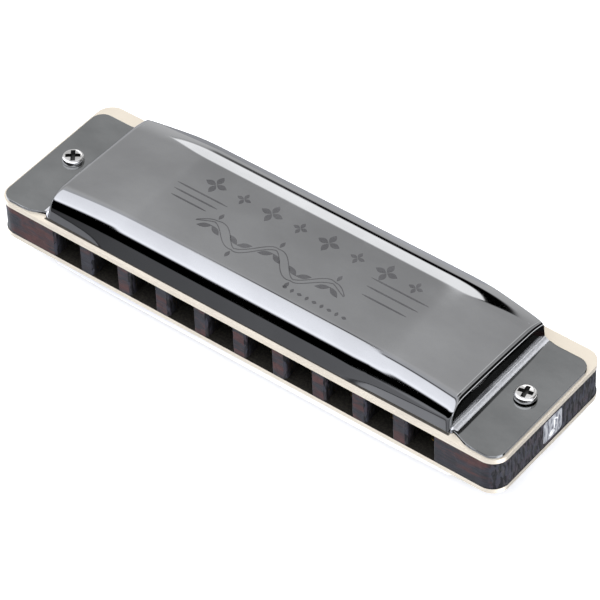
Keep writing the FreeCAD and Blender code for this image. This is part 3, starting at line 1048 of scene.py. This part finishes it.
    def _ear(self, hand: float, material: Material) -> Piece:
        """Builds the flat ear at one end.

        Args:
            hand: 1 for the high end, -1 for the low end.
            material: Its finish.

        Returns:
            The ear.
        """
        foot = self.form.end_foot
        corners = [
            (foot - 0.4, -self.ear_waist, 0.0),
            (foot + 1.2, -self.ear_waist - 0.4, 0.9),
            (foot + 3.6, self.ear_front, 1.1),
            (self.ear_tip, self.ear_front, 2.3),
            (self.ear_tip, self.ear_rear, 2.3),
            (foot + 2.6, self.ear_rear, 0.5),
            (foot - 0.4, 12.0, 0.0),
        ]
        mesh = bmesh.new()
        verts = [mesh.verts.new((x * hand, y, self.form.ledge)) for x, y, _ in corners]
        mesh.faces.new(verts)
        for vertex, (_, _, reach) in zip(verts, corners):
            if reach:
                bmesh.ops.bevel(
                    mesh, geom=[vertex], offset=reach, offset_type="OFFSET", segments=10, profile=0.5,
                    affect="VERTICES", material=-1,
                )
        made = bmesh.ops.extrude_face_region(mesh, geom=mesh.faces[:])
        moved = [part for part in made["geom"] if isinstance(part, bmesh.types.BMVert)]
        bmesh.ops.translate(mesh, vec=Vector((0, 0, -self.form.sheet + 0.01)), verts=moved)
        bmesh.ops.recalc_face_normals(mesh, faces=mesh.faces)
        rim = [edge for edge in mesh.edges if min(v.co.z for v in edge.verts) > self.form.ledge - 0.01]
        Bench.bevel(mesh, rim, self.ear_edge, 3)
        Bench.place(mesh, self.side)
        end = "high" if hand > 0 else "low"
        return Bench.piece(f"{self.side.name.lower()}_cover_ear_{end}", mesh, material, 12.0)

    def build(self, node: str, chrome: Material, satin: Material) -> None:
        """Builds the cover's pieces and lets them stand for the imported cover.

        Args:
            node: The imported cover's name.
            chrome: Finish of the shell and hem.
            satin: Finish of the ears.
        """
        for piece in (self._shell(chrome), self._hem(chrome), self._ear(1.0, satin), self._ear(-1.0, satin)):
            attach(piece, BODY)
            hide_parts(node)
            LOG.info("cover piece %s", piece.name)


# ---- engraving -------------------------------------------------------------------------------
@dataclass
class Engraving:
    """A plain ornament etched into the upper cover: lozenges, a leafy wave and pinstripes."""

    form: CoverForm = field(default_factory=CoverForm)
    proud: float = 0.012
    line: float = 0.17
    lozenge_row: float = 4.5
    lozenge_first: float = -18.9
    lozenge_pitch: float = 5.68
    lozenge_count: int = 8
    lozenge_large: float = 1.75
    lozenge_small: float = 1.15
    petal_length: float = 1.15
    petal_width: float = 0.62
    wave_first: float = -16.5
    wave_last: float = 13.0
    wave_middle: float = -3.6
    wave_height: float = 2.1
    wave_turns: int = 5
    pin_width: float = 0.3
    pins: tuple[tuple[float, float, float], ...] = (
        (-24.4, -14.2, 1.5), (-24.0, -15.2, 0.1), (-23.5, -16.4, -1.3),
        (13.9, 25.0, 2.3), (14.4, 24.3, 0.4), (14.9, 23.5, -1.5),
    )
    seed_first: float = 4.2
    seed_pitch: float = 1.45
    seed_row: float = -7.3
    seed_count: int = 9

    def _lay(self, mesh: Mesh) -> None:
        """Lays a flat ornament on the cover's top.

        Args:
            mesh: The ornament.
        """
        plan = np.array([(vertex.co.x, vertex.co.y) for vertex in mesh.verts])
        for vertex, height in zip(mesh.verts, self.form.height(plan[:, 0], plan[:, 1])):
            vertex.co.z = float(height) + self.proud

    def _stroke(self, start: Vector, end: Vector, width: float, mesh: Mesh) -> None:
        """Adds a straight stroke that narrows to both ends.

        Args:
            start: Its first end.
            end: Its last end.
            width: Its width in the middle.
            mesh: The ornament.
        """
        made = bmesh.ops.create_grid(mesh, x_segments=12, y_segments=1, size=1.0)
        along = end - start
        across = Vector((-along.y, along.x)).normalized()
        for vertex in made["verts"]:
            share = (vertex.co.x + 1) / 2
            half = width / 2 * min(1.0, 6 * share + 0.2, 6 * (1 - share) + 0.2)
            spot = start + along * share + across * half * vertex.co.y
            vertex.co = Vector((spot.x, spot.y, 0))

    def _leaf(self, middle: Vector, angle: float, length: float, width: float, mesh: Mesh) -> None:
        """Adds a pointed leaf.

        Args:
            middle: Its middle.
            angle: Its turn in degrees.
            length: From point to point.
            width: Across its middle.
            mesh: The ornament.
        """
        made = bmesh.ops.create_grid(mesh, x_segments=14, y_segments=2, size=1.0)
        turn = Matrix.Rotation(math.radians(angle), 2)
        for vertex in made["verts"]:
            share = vertex.co.x
            half = width / 2 * math.cos(share * math.pi / 2)
            spot = turn @ Vector((share * length / 2, vertex.co.y * half))
            vertex.co = Vector((middle.x + spot.x, middle.y + spot.y, 0))

    def _swing(self, share: float) -> float:
        """How far the wave swings, most in its middle."""
        return self.wave_height * (0.55 + 0.45 * math.sin(share * math.pi))

    def _ribbon(self, share: float, edge: float) -> Vector:
        """Finds a point of the wave's ribbon, which is broad on its slopes and thin at its turns.

        Args:
            share: Share along the wave.
            edge: 1 or -1 for one of its outlines.

        Returns:
            The point.
        """
        phase = share * math.pi * self.wave_turns
        swing = self._swing(share)
        half = (0.22 + 0.55 * abs(math.cos(phase))) * min(1.0, 8 * share + 0.1, 8 * (1 - share) + 0.1)
        x = self.wave_first + share * (self.wave_last - self.wave_first)
        return Vector((x + 0.35 * edge * half, self.wave_middle + swing * math.sin(phase) + half * edge, 0))

    def _wave(self, mesh: Mesh) -> None:
        """Adds the two outlines of the wave's ribbon.

        Args:
            mesh: The ornament.
        """
        for edge in (-1.0, 1.0):
            made = bmesh.ops.create_grid(mesh, x_segments=220, y_segments=1, size=1.0)
            for vertex in made["verts"]:
                share = (vertex.co.x + 1) / 2
                side = vertex.co.y
                spot = self._ribbon(share, edge)
                before = self._ribbon(max(share - 0.002, 0), edge)
                after = self._ribbon(min(share + 0.002, 1), edge)
                along = (after - before).normalized()
                across = Vector((-along.y, along.x, 0)) * self.line / 2
                vertex.co = spot + across * side

    def build(self, material: Material) -> Piece:
        """Builds the ornament.

        Args:
            material: Its finish.

        Returns:
            The ornament.
        """
        mesh = bmesh.new()
        for index in range(self.lozenge_count):
            x = self.lozenge_first + index * self.lozenge_pitch
            size = self.lozenge_large if index % 2 == 0 else self.lozenge_small
            for angle in (0, 90, 180, 270):
                turn = math.radians(angle)
                reach = self.petal_width * size
                middle = Vector((x + reach * math.cos(turn), self.lozenge_row + reach * math.sin(turn)))
                self._leaf(middle, angle, self.petal_length * size, reach, mesh)
        self._wave(mesh)
        for index in range(self.wave_turns):
            share = (index + 0.5) / self.wave_turns
            x = self.wave_first + share * (self.wave_last - self.wave_first)
            up = 1 if index % 2 == 0 else -1
            crest = self.wave_middle + up * self._swing(share)
            self._leaf(Vector((x - 1.1, crest - up * 1.7)), 28 * up, 2.6, 0.95, mesh)
            self._leaf(Vector((x + 1.1, crest - up * 1.7)), -28 * up, 2.6, 0.95, mesh)
            self._leaf(Vector((x, crest + up * 1.3)), 90, 1.5, 0.7, mesh)
        for first, last, y in self.pins:
            self._stroke(Vector((first, y)), Vector((last, y)), self.pin_width, mesh)
        for index in range(self.seed_count):
            middle = Vector((self.seed_first + index * self.seed_pitch, self.seed_row))
            self._leaf(middle, 90 if index % 2 else 0, 0.95, 0.6, mesh)
        self._lay(mesh)
        Bench.place(mesh)
        piece = Bench.piece("cover_engraving", mesh, material)
        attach(piece, BODY)
        LOG.info("piece %s", piece.name)
        return piece


# ---- fasteners -------------------------------------------------------------------------------
@dataclass
class CoverScrew:
    """A pan-head cross-recess screw through both covers."""

    name: str
    x: float
    y: float = -0.4
    turn: float = 20.0
    head_radius: float = 1.88
    head_height: float = 1.0
    ledge: float = 4.15
    shank_radius: float = 1.0
    tip: float = -5.7
    recess_reach: float = 1.66
    recess_width: float = 1.0
    recess_depth: float = 0.7
    recess_floor: float = 0.55
    rim_radius: float = 0.58
    rim_height: float = 0.57
    rim_drop: float = 0.62
    rim_foot: float = 0.06
    thread_pitch: float = 0.4
    thread_depth: float = 0.14
    seam_angle: float = 32.0

    def _body(self) -> Mesh:
        """Spins the head and shank about the screw's axis.

        Returns:
            The uncut screw.
        """
        top = self.ledge + self.head_height
        rim, shank, foot = self.head_radius, self.shank_radius, self.rim_foot
        outline = [(0.0, top), (0.9, top - 0.012), (1.25, top - 0.05)]
        for step in range(1, 7):
            angle = math.radians(15 * step)
            out = self.rim_radius * (math.sin(angle) - 1)
            up = self.rim_height * math.cos(angle) - self.rim_drop
            outline.append((rim + out, top + up))
        outline += [(rim, self.ledge + foot), (rim - foot, self.ledge), (shank, self.ledge)]
        height = self.ledge - self.thread_pitch / 2
        while height > self.tip + 0.3:
            outline += [(shank, height), (shank - self.thread_depth, height - self.thread_pitch / 2)]
            height -= self.thread_pitch
        outline += [(shank - 0.1, self.tip + 0.12), (shank - 0.3, self.tip), (0.0, self.tip)]
        mesh = bmesh.new()
        verts = [mesh.verts.new((radius, 0.0, z)) for radius, z in outline]
        edges = [mesh.edges.new((first, second)) for first, second in zip(verts, verts[1:])]
        bmesh.ops.spin(
            mesh, geom=verts + edges, cent=(0, 0, 0), axis=(0, 0, 1), angle=math.tau, steps=48,
            use_merge=True,
        )
        bmesh.ops.remove_doubles(mesh, verts=mesh.verts, dist=1e-4)
        bmesh.ops.recalc_face_normals(mesh, faces=mesh.faces)
        return mesh

    def _cutter(self, angle: float) -> Mesh:
        """One bar of the cross that is cut out of the head, narrower at its floor.

        Args:
            angle: The bar's turn in degrees.

        Returns:
            The bar.
        """
        mesh = bmesh.new()
        made = bmesh.ops.create_cube(mesh, size=1.0)["verts"]
        size = (2 * self.recess_reach, self.recess_width, 2 * self.recess_depth)
        bmesh.ops.scale(mesh, vec=size, verts=made)
        low = [vertex for vertex in made if vertex.co.z < 0]
        bmesh.ops.scale(mesh, vec=(self.recess_floor, self.recess_floor, 1.0), verts=low)
        bmesh.ops.rotate(mesh, cent=(0, 0, 0), matrix=about_z(angle), verts=made)
        bmesh.ops.translate(mesh, vec=(0, 0, self.ledge + self.head_height), verts=made)
        return mesh

    def build(self, material: Material, recess: Material) -> Piece:
        """Builds the screw.

        Args:
            material: Its finish.
            recess: Finish of the cross in its head, nearly black as painted shade.

        Returns:
            The screw.
        """
        parts = []
        for index, mesh in enumerate((self._body(), self._cutter(self.turn), self._cutter(self.turn + 90.0))):
            bmesh.ops.translate(mesh, vec=(self.x, self.y, 0), verts=mesh.verts)
            parts.append(Bench.piece(f"{self.name}_{index}", mesh, recess if index else material))
        blank = parts[0]
        for bar in parts[1:]:
            cut = blank.modifiers.new("bar", "BOOLEAN")
            cut.operation = "DIFFERENCE"
            cut.solver = "EXACT"
            cut.object = bar
            cut.material_mode = "TRANSFER"
        seen = blank.evaluated_get(bpy.context.evaluated_depsgraph_get())
        shape = seen.to_mesh()
        names = [made.name for made in shape.materials]
        mesh = bmesh.new()
        mesh.from_mesh(shape)
        for face in mesh.faces:
            face.material_index = 1 if names[face.material_index] == recess.name else 0
        LOG.info("%s has %d recess faces", self.name, sum(face.material_index for face in mesh.faces))
        for part in parts:
            bpy.data.objects.remove(part)
        Bench.place(mesh)
        screw = Bench.piece(self.name, mesh, material, self.seam_angle)
        screw.data.materials.append(recess)
        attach(screw, BODY)
        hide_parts("cover_screws")
        LOG.info("screw %s", screw.name)
        return screw


# ---- key mark --------------------------------------------------------------------------------
@dataclass
class NoteGlyph:
    """A plain quaver in place of a key letter, on the mark in the comb's end."""

    face: float = 49.915
    y: float = 0.35
    head_length: float = 1.6
    head_width: float = 1.15
    head_turn: float = 24.0
    stem: float = 2.6
    stem_width: float = 0.36
    flag_half: float = 0.26
    flag_reach: float = 1.5

    def build(self, material: Material) -> Piece:
        """Builds the note.

        Args:
            material: Its finish.

        Returns:
            The note.
        """
        mesh = bmesh.new()
        head = bmesh.ops.create_circle(mesh, cap_ends=True, radius=0.5, segments=28)["verts"]
        bmesh.ops.scale(mesh, vec=(self.head_length, self.head_width, 1), verts=head)
        bmesh.ops.rotate(mesh, cent=(0, 0, 0), matrix=about_z(self.head_turn), verts=head)
        stem = bmesh.ops.create_grid(mesh, x_segments=1, y_segments=4, size=0.5)["verts"]
        bmesh.ops.scale(mesh, vec=(self.stem_width, self.stem, 1), verts=stem)
        side = self.head_length / 2 - self.stem_width / 2 - 0.02
        bmesh.ops.translate(mesh, vec=(side, self.stem / 2 + 0.1, 0), verts=stem)
        flag = bmesh.ops.create_grid(mesh, x_segments=10, y_segments=1, size=1.0)["verts"]
        for vertex in flag:
            share = (vertex.co.x + 1) / 2
            half = self.flag_half * (1 - share) + 0.03
            drop = 0.35 * share + 0.75 * share**2
            out = math.sin(share * self.flag_reach)
            vertex.co = Vector((side + out, self.stem - 0.1 - drop + half * vertex.co.y, 0))
        bmesh.ops.translate(mesh, vec=(-0.1, -1.25, 0), verts=mesh.verts)
        upright = Matrix(((0, 0, 1), (1, 0, 0), (0, 1, 0)))
        bmesh.ops.rotate(mesh, cent=(0, 0, 0), matrix=upright, verts=mesh.verts)
        bmesh.ops.translate(mesh, vec=(self.face, self.y, 0), verts=mesh.verts)
        Bench.place(mesh)
        note = Bench.piece("key_mark_note", mesh, material)
        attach(note, BODY)
        LOG.info("piece %s", note.name)
        return note


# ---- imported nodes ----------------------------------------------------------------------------
@dataclass
class Dresser:
    """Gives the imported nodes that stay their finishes."""

    finishes: Finishes
    made: dict[str, Material] = field(default_factory=dict)

    def material(self, finish: Finish) -> Material:
        """Looks up a finish's material, and builds it on first use.

        Args:
            finish: The finish.

        Returns:
            Its material.
        """
        if finish.name not in self.made:
            self.made[finish.name] = finish.build()
        return self.made[finish.name]

    def finish_of(self, node: str) -> Finish:
        """Chooses a node's finish.

        Args:
            node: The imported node's name.

        Returns:
            Its finish.
        """
        kinds = self.finishes
        rules = (
            ("_cover", kinds.chrome), ("comb", kinds.wood), ("key_mark", kinds.mark), ("_plate", kinds.plate),
            ("reed_plate_screws", kinds.plate_screw), ("cover_screws", kinds.steel),
            ("cover_nuts", kinds.nut), ("_rivets", kinds.rivet),
        )
        return next((finish for ending, finish in rules if node.endswith(ending)), kinds.brass)

    def dress(self, nodes: dict[str, Piece]) -> None:
        """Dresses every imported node.

        Args:
            nodes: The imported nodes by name.
        """
        for name, node in nodes.items():
            finish = self.finish_of(name)
            node.data.materials.clear()
            node.data.materials.append(self.material(finish))
            node.visible_glossy = finish is not self.finishes.plate
            LOG.info("node %s takes %s", name, finish.name)


# ---- studio ----------------------------------------------------------------------------------
@dataclass(frozen=True)
class Lens:
    """A patch of even light with blunt tips, on top of the long panels.

    It lies at a place along the length and reaches that far to either side. Its middle and half
    width are angles round the length, and its tilt is what the middle turns by along the length.
    """

    place: float
    reach: float
    middle: float
    half: float
    strength: float
    tilt: float = -50.0
    soft: float = 1.6


@dataclass
class Studio:
    """A pale floor, long soft panels of light round the instrument's length, and the camera.

    Steps with "side" in their names go by how far a direction points along the length, those of
    the high end by the turn about the end, and all others by the angle round the length.
    """

    ramp: tuple[tuple[float, float], ...] = (
        (-182.0, 1.05), (-118.0, 1.10), (-108.0, 3.2), (-76.0, 3.2), (-62.0, 1.25), (-44.0, 1.10),
        (-38.0, 0.72), (-31.0, 0.68), (-29.5, 0.12), (-26.5, 0.12), (-25.0, 0.37), (-19.5, 0.37),
        (-14.5, 0.55), (24.0, 0.55), (25.5, 0.0), (27.8, 1.0), (31.8, 3.0), (36.0, 3.3), (46.0, 2.9),
        (90.0, 2.6), (122.0, 2.45),
    )
    ramp_end: float = 182.0
    ramp_top: float = 4.0
    shift_side: Step = (-0.410, -0.388, 0.0, 10.5)
    shift_side_far: Step = (-0.520, -0.505, 8.0, 0.0)
    shift_start: Step = (0.0, 16.0)
    front: Step = (-31.0, -25.0)
    front_side: Step = (-0.53, -0.40, 0.30, 1.15)
    front_end: Step = (24.0, 25.0, 1.0, 0.0)
    floor_side: Step = (-0.50, -0.43, 0.28, 0.0)
    dusk_side: Step = (-0.435, -0.385, -15.0, 0.0)
    night: Step = (-4.0, 1.5)
    top_side: Step = (-0.438, -0.410, 107.0, 91.5)
    top_side_far: Step = (-0.50, -0.47, -6.0, 0.0)
    top_start: Step = (-1.5, 2.5)
    top_level: Step = (117.0, 133.0, 1.02, 0.74)
    top_rear: Step = (140.0, 170.0, 0.0, 0.24)
    bow_place: float = -0.45
    bow_rate: float = 15.0
    bow_gain: float = 0.18
    gap_rise: Step = (0.0, 3.5)
    gap_fall: Step = (4.5, 9.0)
    gap_side: Step = (-0.49, -0.452, 0.0, 0.80)
    lenses: tuple[Lens, ...] = (
        Lens(-0.422, 0.181, 152.9, 15.6, 0.0, tilt=-35.0),
        Lens(-0.4455, 0.160, 148.25, 12.6, 2.6),
    )
    lens_late: Step = (156.0, 162.0)
    lens_side: Step = (-0.52, -0.46, 0.85, 0.0)
    end_start: Step = (0.2, 0.4)
    glint_rise: Step = (-6.0, -1.0)
    glint_fall: Step = (3.5, 7.0)
    glint_gain: float = 0.7
    seam_rise: Step = (5.0, 8.0)
    seam_fall: Step = (24.0, 29.0)
    seam_near: Step = (0.560, 0.568, 1.0, 0.3)
    seam_loss: float = 0.8
    dark_rise: Step = (37.0, 42.0)
    dark_fall: Step = (144.0, 150.0)
    dark_loss: float = 0.98
    streak_rise: Step = (74.0, 82.0)
    streak_fall: Step = (88.0, 96.0)
    streak: float = 2.6
    tint: Colour = (0.985, 0.988, 1.0)
    cool: Colour = (0.925, 0.94, 1.0)
    cool_end: Step = (96.0, 124.0)
    glow: float = 0.42
    floor_tint: Colour = (0.93, 0.93, 0.93)
    floor_mottle: float = 0.985
    floor_size: float = 3.0
    camera_place: Vector = Vector((0.26994, -0.32580, 0.42673))
    azimuth: float = 39.52
    elevation: float = 44.74
    roll: float = 2.28
    lens: float = 224.5

    def _ramp(self, bench: Tree, angle: Socket) -> Socket:
        """The panels' level by the angle alone.

        Args:
            bench: The world's Tree.
            angle: Angle round the instrument's length.

        Returns:
            The level.
        """
        span = 2 * self.ramp_end
        share = bench.math("DIVIDE", bench.math("ADD", angle, self.ramp_end), span)
        ramp = bench.add("ValToRGB", Fac=share)
        stops = ramp.color_ramp.elements
        for index, (place, level) in enumerate(self.ramp):
            stop = stops[index] if index < 2 else stops.new(1.0)
            stop.position = (place + self.ramp_end) / span
            stop.color = (*([level / self.ramp_top] * 3), 1.0)
        return bench.math("MULTIPLY", ramp.outputs["Color"], self.ramp_top)

    def _panels(self, bench: Tree, angle: Socket, side: Socket) -> Socket:
        """The long panels, from the floor in front, over the top, to the floor behind.

        Args:
            bench: The world's Tree.
            angle: Angle round the instrument's length, 0 straight ahead and 90 overhead.
            side: How far a direction points along the length.

        Returns:
            The light's level.
        """
        shift = bench.math("ADD", bench.band(side, *self.shift_side), bench.band(side, *self.shift_side_far))
        shift = bench.math("MULTIPLY", shift, bench.band(angle, *self.shift_start))
        shifted = bench.math("SUBTRACT", angle, shift)
        level = self._ramp(bench, shifted)
        front = bench.band(angle, *self.front)
        dim = bench.band(side, *self.front_side, even=True)
        ahead = bench.band(shifted, *self.front_end)
        dim = bench.math("MULTIPLY", bench.math("SUBTRACT", dim, 1.0), bench.math("MULTIPLY", front, ahead))
        level = bench.math("MULTIPLY", level, bench.math("ADD", dim, 1.0))
        level = bench.less(level, bench.less(bench.band(side, *self.floor_side), front))
        dusk = bench.band(side, *self.dusk_side)
        night = bench.band(bench.math("SUBTRACT", angle, dusk), *self.night)
        level = bench.less(level, bench.math("MULTIPLY", night, ahead))
        edge = bench.math("ADD", bench.band(side, *self.top_side), bench.band(side, *self.top_side_far))
        past = bench.math("SUBTRACT", angle, edge)
        top = self._top(bench, angle, side, past)
        over = bench.band(past, *self.top_start)
        return bench.math("MULTIPLY_ADD", over, top, bench.less(level, over))

    def _top(self, bench: Tree, angle: object, side: object, past: object) -> Socket:
        """The panel that the flat top mirrors, with a gap near its edge.

        Args:
            bench: The world's Tree.
            angle: Angle round the instrument's length.
            side: How far a direction points along the length.
            past: The angle past the panel's edge.

        Returns:
            The panel's level.
        """
        top = bench.band(angle, *self.top_level, even=True)
        rear = bench.band(angle, *self.top_rear)
        bow = bench.math("MULTIPLY", bench.math("SUBTRACT", side, self.bow_place), self.bow_rate)
        bow = bench.math("MINIMUM", bench.math("POWER", bow, 2.0), 1.0)
        bow = bench.math("MULTIPLY_ADD", bow, self.bow_gain, 1.0)
        top = bench.math("MULTIPLY", bench.math("ADD", top, rear), bow)
        gap = bench.window(past, self.gap_rise, self.gap_fall)
        return bench.less(top, bench.math("MULTIPLY", gap, bench.band(side, *self.gap_side)))

    def _lenses(self, bench: Tree, angle: object, side: object, level: object) -> Socket:
        """Lays the blunt patches over the panels.

        Args:
            bench: The world's Tree.
            angle: Angle round the instrument's length.
            side: How far a direction points along the length.
            level: The panels' level.

        Returns:
            The new level.
        """
        for lens in self.lenses:
            off = bench.math("SUBTRACT", side, lens.place)
            share = bench.math("POWER", bench.math("DIVIDE", bench.math("ABSOLUTE", off), lens.reach), 4.0)
            half = bench.math("MULTIPLY", bench.math("SUBTRACT", 1.0, share), lens.half)
            middle = bench.math("MULTIPLY_ADD", off, lens.tilt, lens.middle)
            away = bench.apart(angle, middle)
            mask = bench.band(bench.math("SUBTRACT", away, half), -lens.soft, lens.soft, 1.0, 0.0)
            if not lens.strength:
                late = bench.band(angle, *self.lens_late)
                mask = bench.less(mask, bench.math("MULTIPLY", late, bench.band(side, *self.lens_side)))
            level = bench.math("MULTIPLY_ADD", mask, lens.strength, bench.less(level, mask))
        return level

    def _end(self, bench: Tree, way: bpy.types.Node, level: object) -> Socket:
        """Darkens the light beyond the high end, with one thin and one broad streak left in it.

        Args:
            bench: The world's Tree.
            way: The direction, taken apart.
            level: The level so far.

        Returns:
            The new level.
        """
        turn = bench.math("ARCTAN2", way.outputs["X"], way.outputs["Z"])
        turn = bench.math("MULTIPLY", turn, 180 / math.pi)
        near = bench.band(way.outputs["Y"], *self.seam_near)
        glint = bench.window(turn, self.glint_rise, self.glint_fall)
        gain = bench.math("MULTIPLY_ADD", glint, self.glint_gain, 1.0)
        seam = bench.math("MULTIPLY", bench.window(turn, self.seam_rise, self.seam_fall), near)
        gain = bench.math("SUBTRACT", gain, bench.math("MULTIPLY", seam, self.seam_loss))
        dark = bench.window(turn, self.dark_rise, self.dark_fall)
        gain = bench.math("MULTIPLY", gain, bench.math("MULTIPLY_ADD", dark, -self.dark_loss, 1.0))
        streak = bench.window(turn, self.streak_rise, self.streak_fall)
        behind = bench.band(way.outputs["Y"], *self.end_start)
        change = bench.math("MULTIPLY_ADD", bench.math("SUBTRACT", gain, 1.0), behind, 1.0)
        level = bench.math("MULTIPLY", level, change)
        return bench.math("MULTIPLY_ADD", bench.math("MULTIPLY", streak, behind), self.streak, level)

    def _light(self) -> None:
        """Makes the world of panels, which depends on direction alone."""
        world = bpy.data.worlds.new("studio")
        bpy.context.scene.world = world
        world.use_nodes = True
        bench = Tree(world.node_tree)
        way = bench.add("SeparateXYZ", Vector=bench.add("TexCoord").outputs["Generated"])
        ahead = bench.math("MULTIPLY", way.outputs["Y"], -1.0)
        angle = bench.math("MULTIPLY", bench.math("ARCTAN2", way.outputs["Z"], ahead), 180 / math.pi)
        wrap = bench.math("MULTIPLY", bench.math("LESS_THAN", angle, -150.0), 360.0)
        level = self._panels(bench, angle, way.outputs["X"])
        level = self._lenses(bench, bench.math("ADD", angle, wrap), way.outputs["X"], level)
        level = self._end(bench, way, level)
        tone = bench.mix(bench.band(angle, *self.cool_end), self.cool, self.tint)
        sky = bench.add("Background", Strength=level, Color=tone)
        output = bench.add("OutputWorld")
        bench.put(output.inputs["Surface"], sky.outputs[0])

    def _floor(self) -> None:
        """Makes the pale floor, which the polished metal doesn't mirror."""
        mesh = bmesh.new()
        bmesh.ops.create_grid(mesh, x_segments=1, y_segments=1, size=self.floor_size)
        material = bpy.data.materials.new("pale_floor")
        material.use_nodes = True
        bench = Tree(material.node_tree)
        place = bench.add("TexCoord").outputs["Object"]
        cloud = bench.noise(place, 6.0, 4.0)
        mottled = tuple(part * self.floor_mottle for part in self.floor_tint)
        colour = bench.mix(cloud, self.floor_tint, mottled)
        surface = bench.add("BsdfDiffuse", Color=colour, Roughness=0.5)
        lit = bench.add("Emission", Color=colour, Strength=self.glow)
        both = bench.add("AddShader")
        bench.put(both.inputs[0], surface.outputs[0])
        bench.put(both.inputs[1], lit.outputs[0])
        output = bench.add("OutputMaterial")
        bench.put(output.inputs["Surface"], both.outputs[0])
        floor = Bench.piece("studio_floor", mesh, material)
        floor.visible_glossy = False

    def _camera(self) -> None:
        """Places the camera."""
        turn, tilt, roll = (math.radians(angle) for angle in (self.azimuth, self.elevation, self.roll))
        back = Vector((math.sin(turn) * math.cos(tilt), -math.cos(turn) * math.cos(tilt), math.sin(tilt)))
        right = Vector((math.cos(turn), math.sin(turn), 0))
        up = back.cross(right)
        across = right * math.cos(roll) - up * math.sin(roll)
        upward = right * math.sin(roll) + up * math.cos(roll)
        data = bpy.data.cameras.new("camera")
        data.lens = self.lens
        data.sensor_width = 36.0
        data.clip_start = 0.01
        camera = bpy.data.objects.new("camera", data)
        bpy.context.scene.collection.objects.link(camera)
        facing = Matrix((across, upward, back)).transposed().to_4x4()
        camera.matrix_world = Matrix.Translation(self.camera_place) @ facing
        bpy.context.scene.camera = camera

    def build(self) -> None:
        """Builds the light, the floor and the camera."""
        bpy.context.scene.view_settings.view_transform = "Standard"
        self._camera()
        self._light()
        self._floor()
        LOG.info("studio built")


def main() -> None:
    """Loads the frame, then builds and dresses every piece in order."""
    logging.basicConfig(level=logging.INFO, format="%(name)s: %(message)s")
    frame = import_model()
    Studio().build()
    dresser = Dresser(Finishes())
    dresser.dress(frame["nodes"])
    finishes = dresser.finishes
    chrome, satin = dresser.material(finishes.chrome), dresser.material(finishes.satin)
    Cover(Side.UPPER).build("top_cover", chrome, satin)
    Cover(Side.LOWER).build("bottom_cover", chrome, satin)
    Engraving().build(dresser.material(finishes.etched))
    steel, recess = dresser.material(finishes.steel), dresser.material(finishes.recess)
    CoverScrew("cover_screw_low", -45.3, turn=38.0).build(steel, recess)
    CoverScrew("cover_screw_high", 45.3, turn=12.0, ledge=4.45).build(steel, recess)
    NoteGlyph().build(dresser.material(finishes.glyph))


if __name__ == "__main__":
    main()
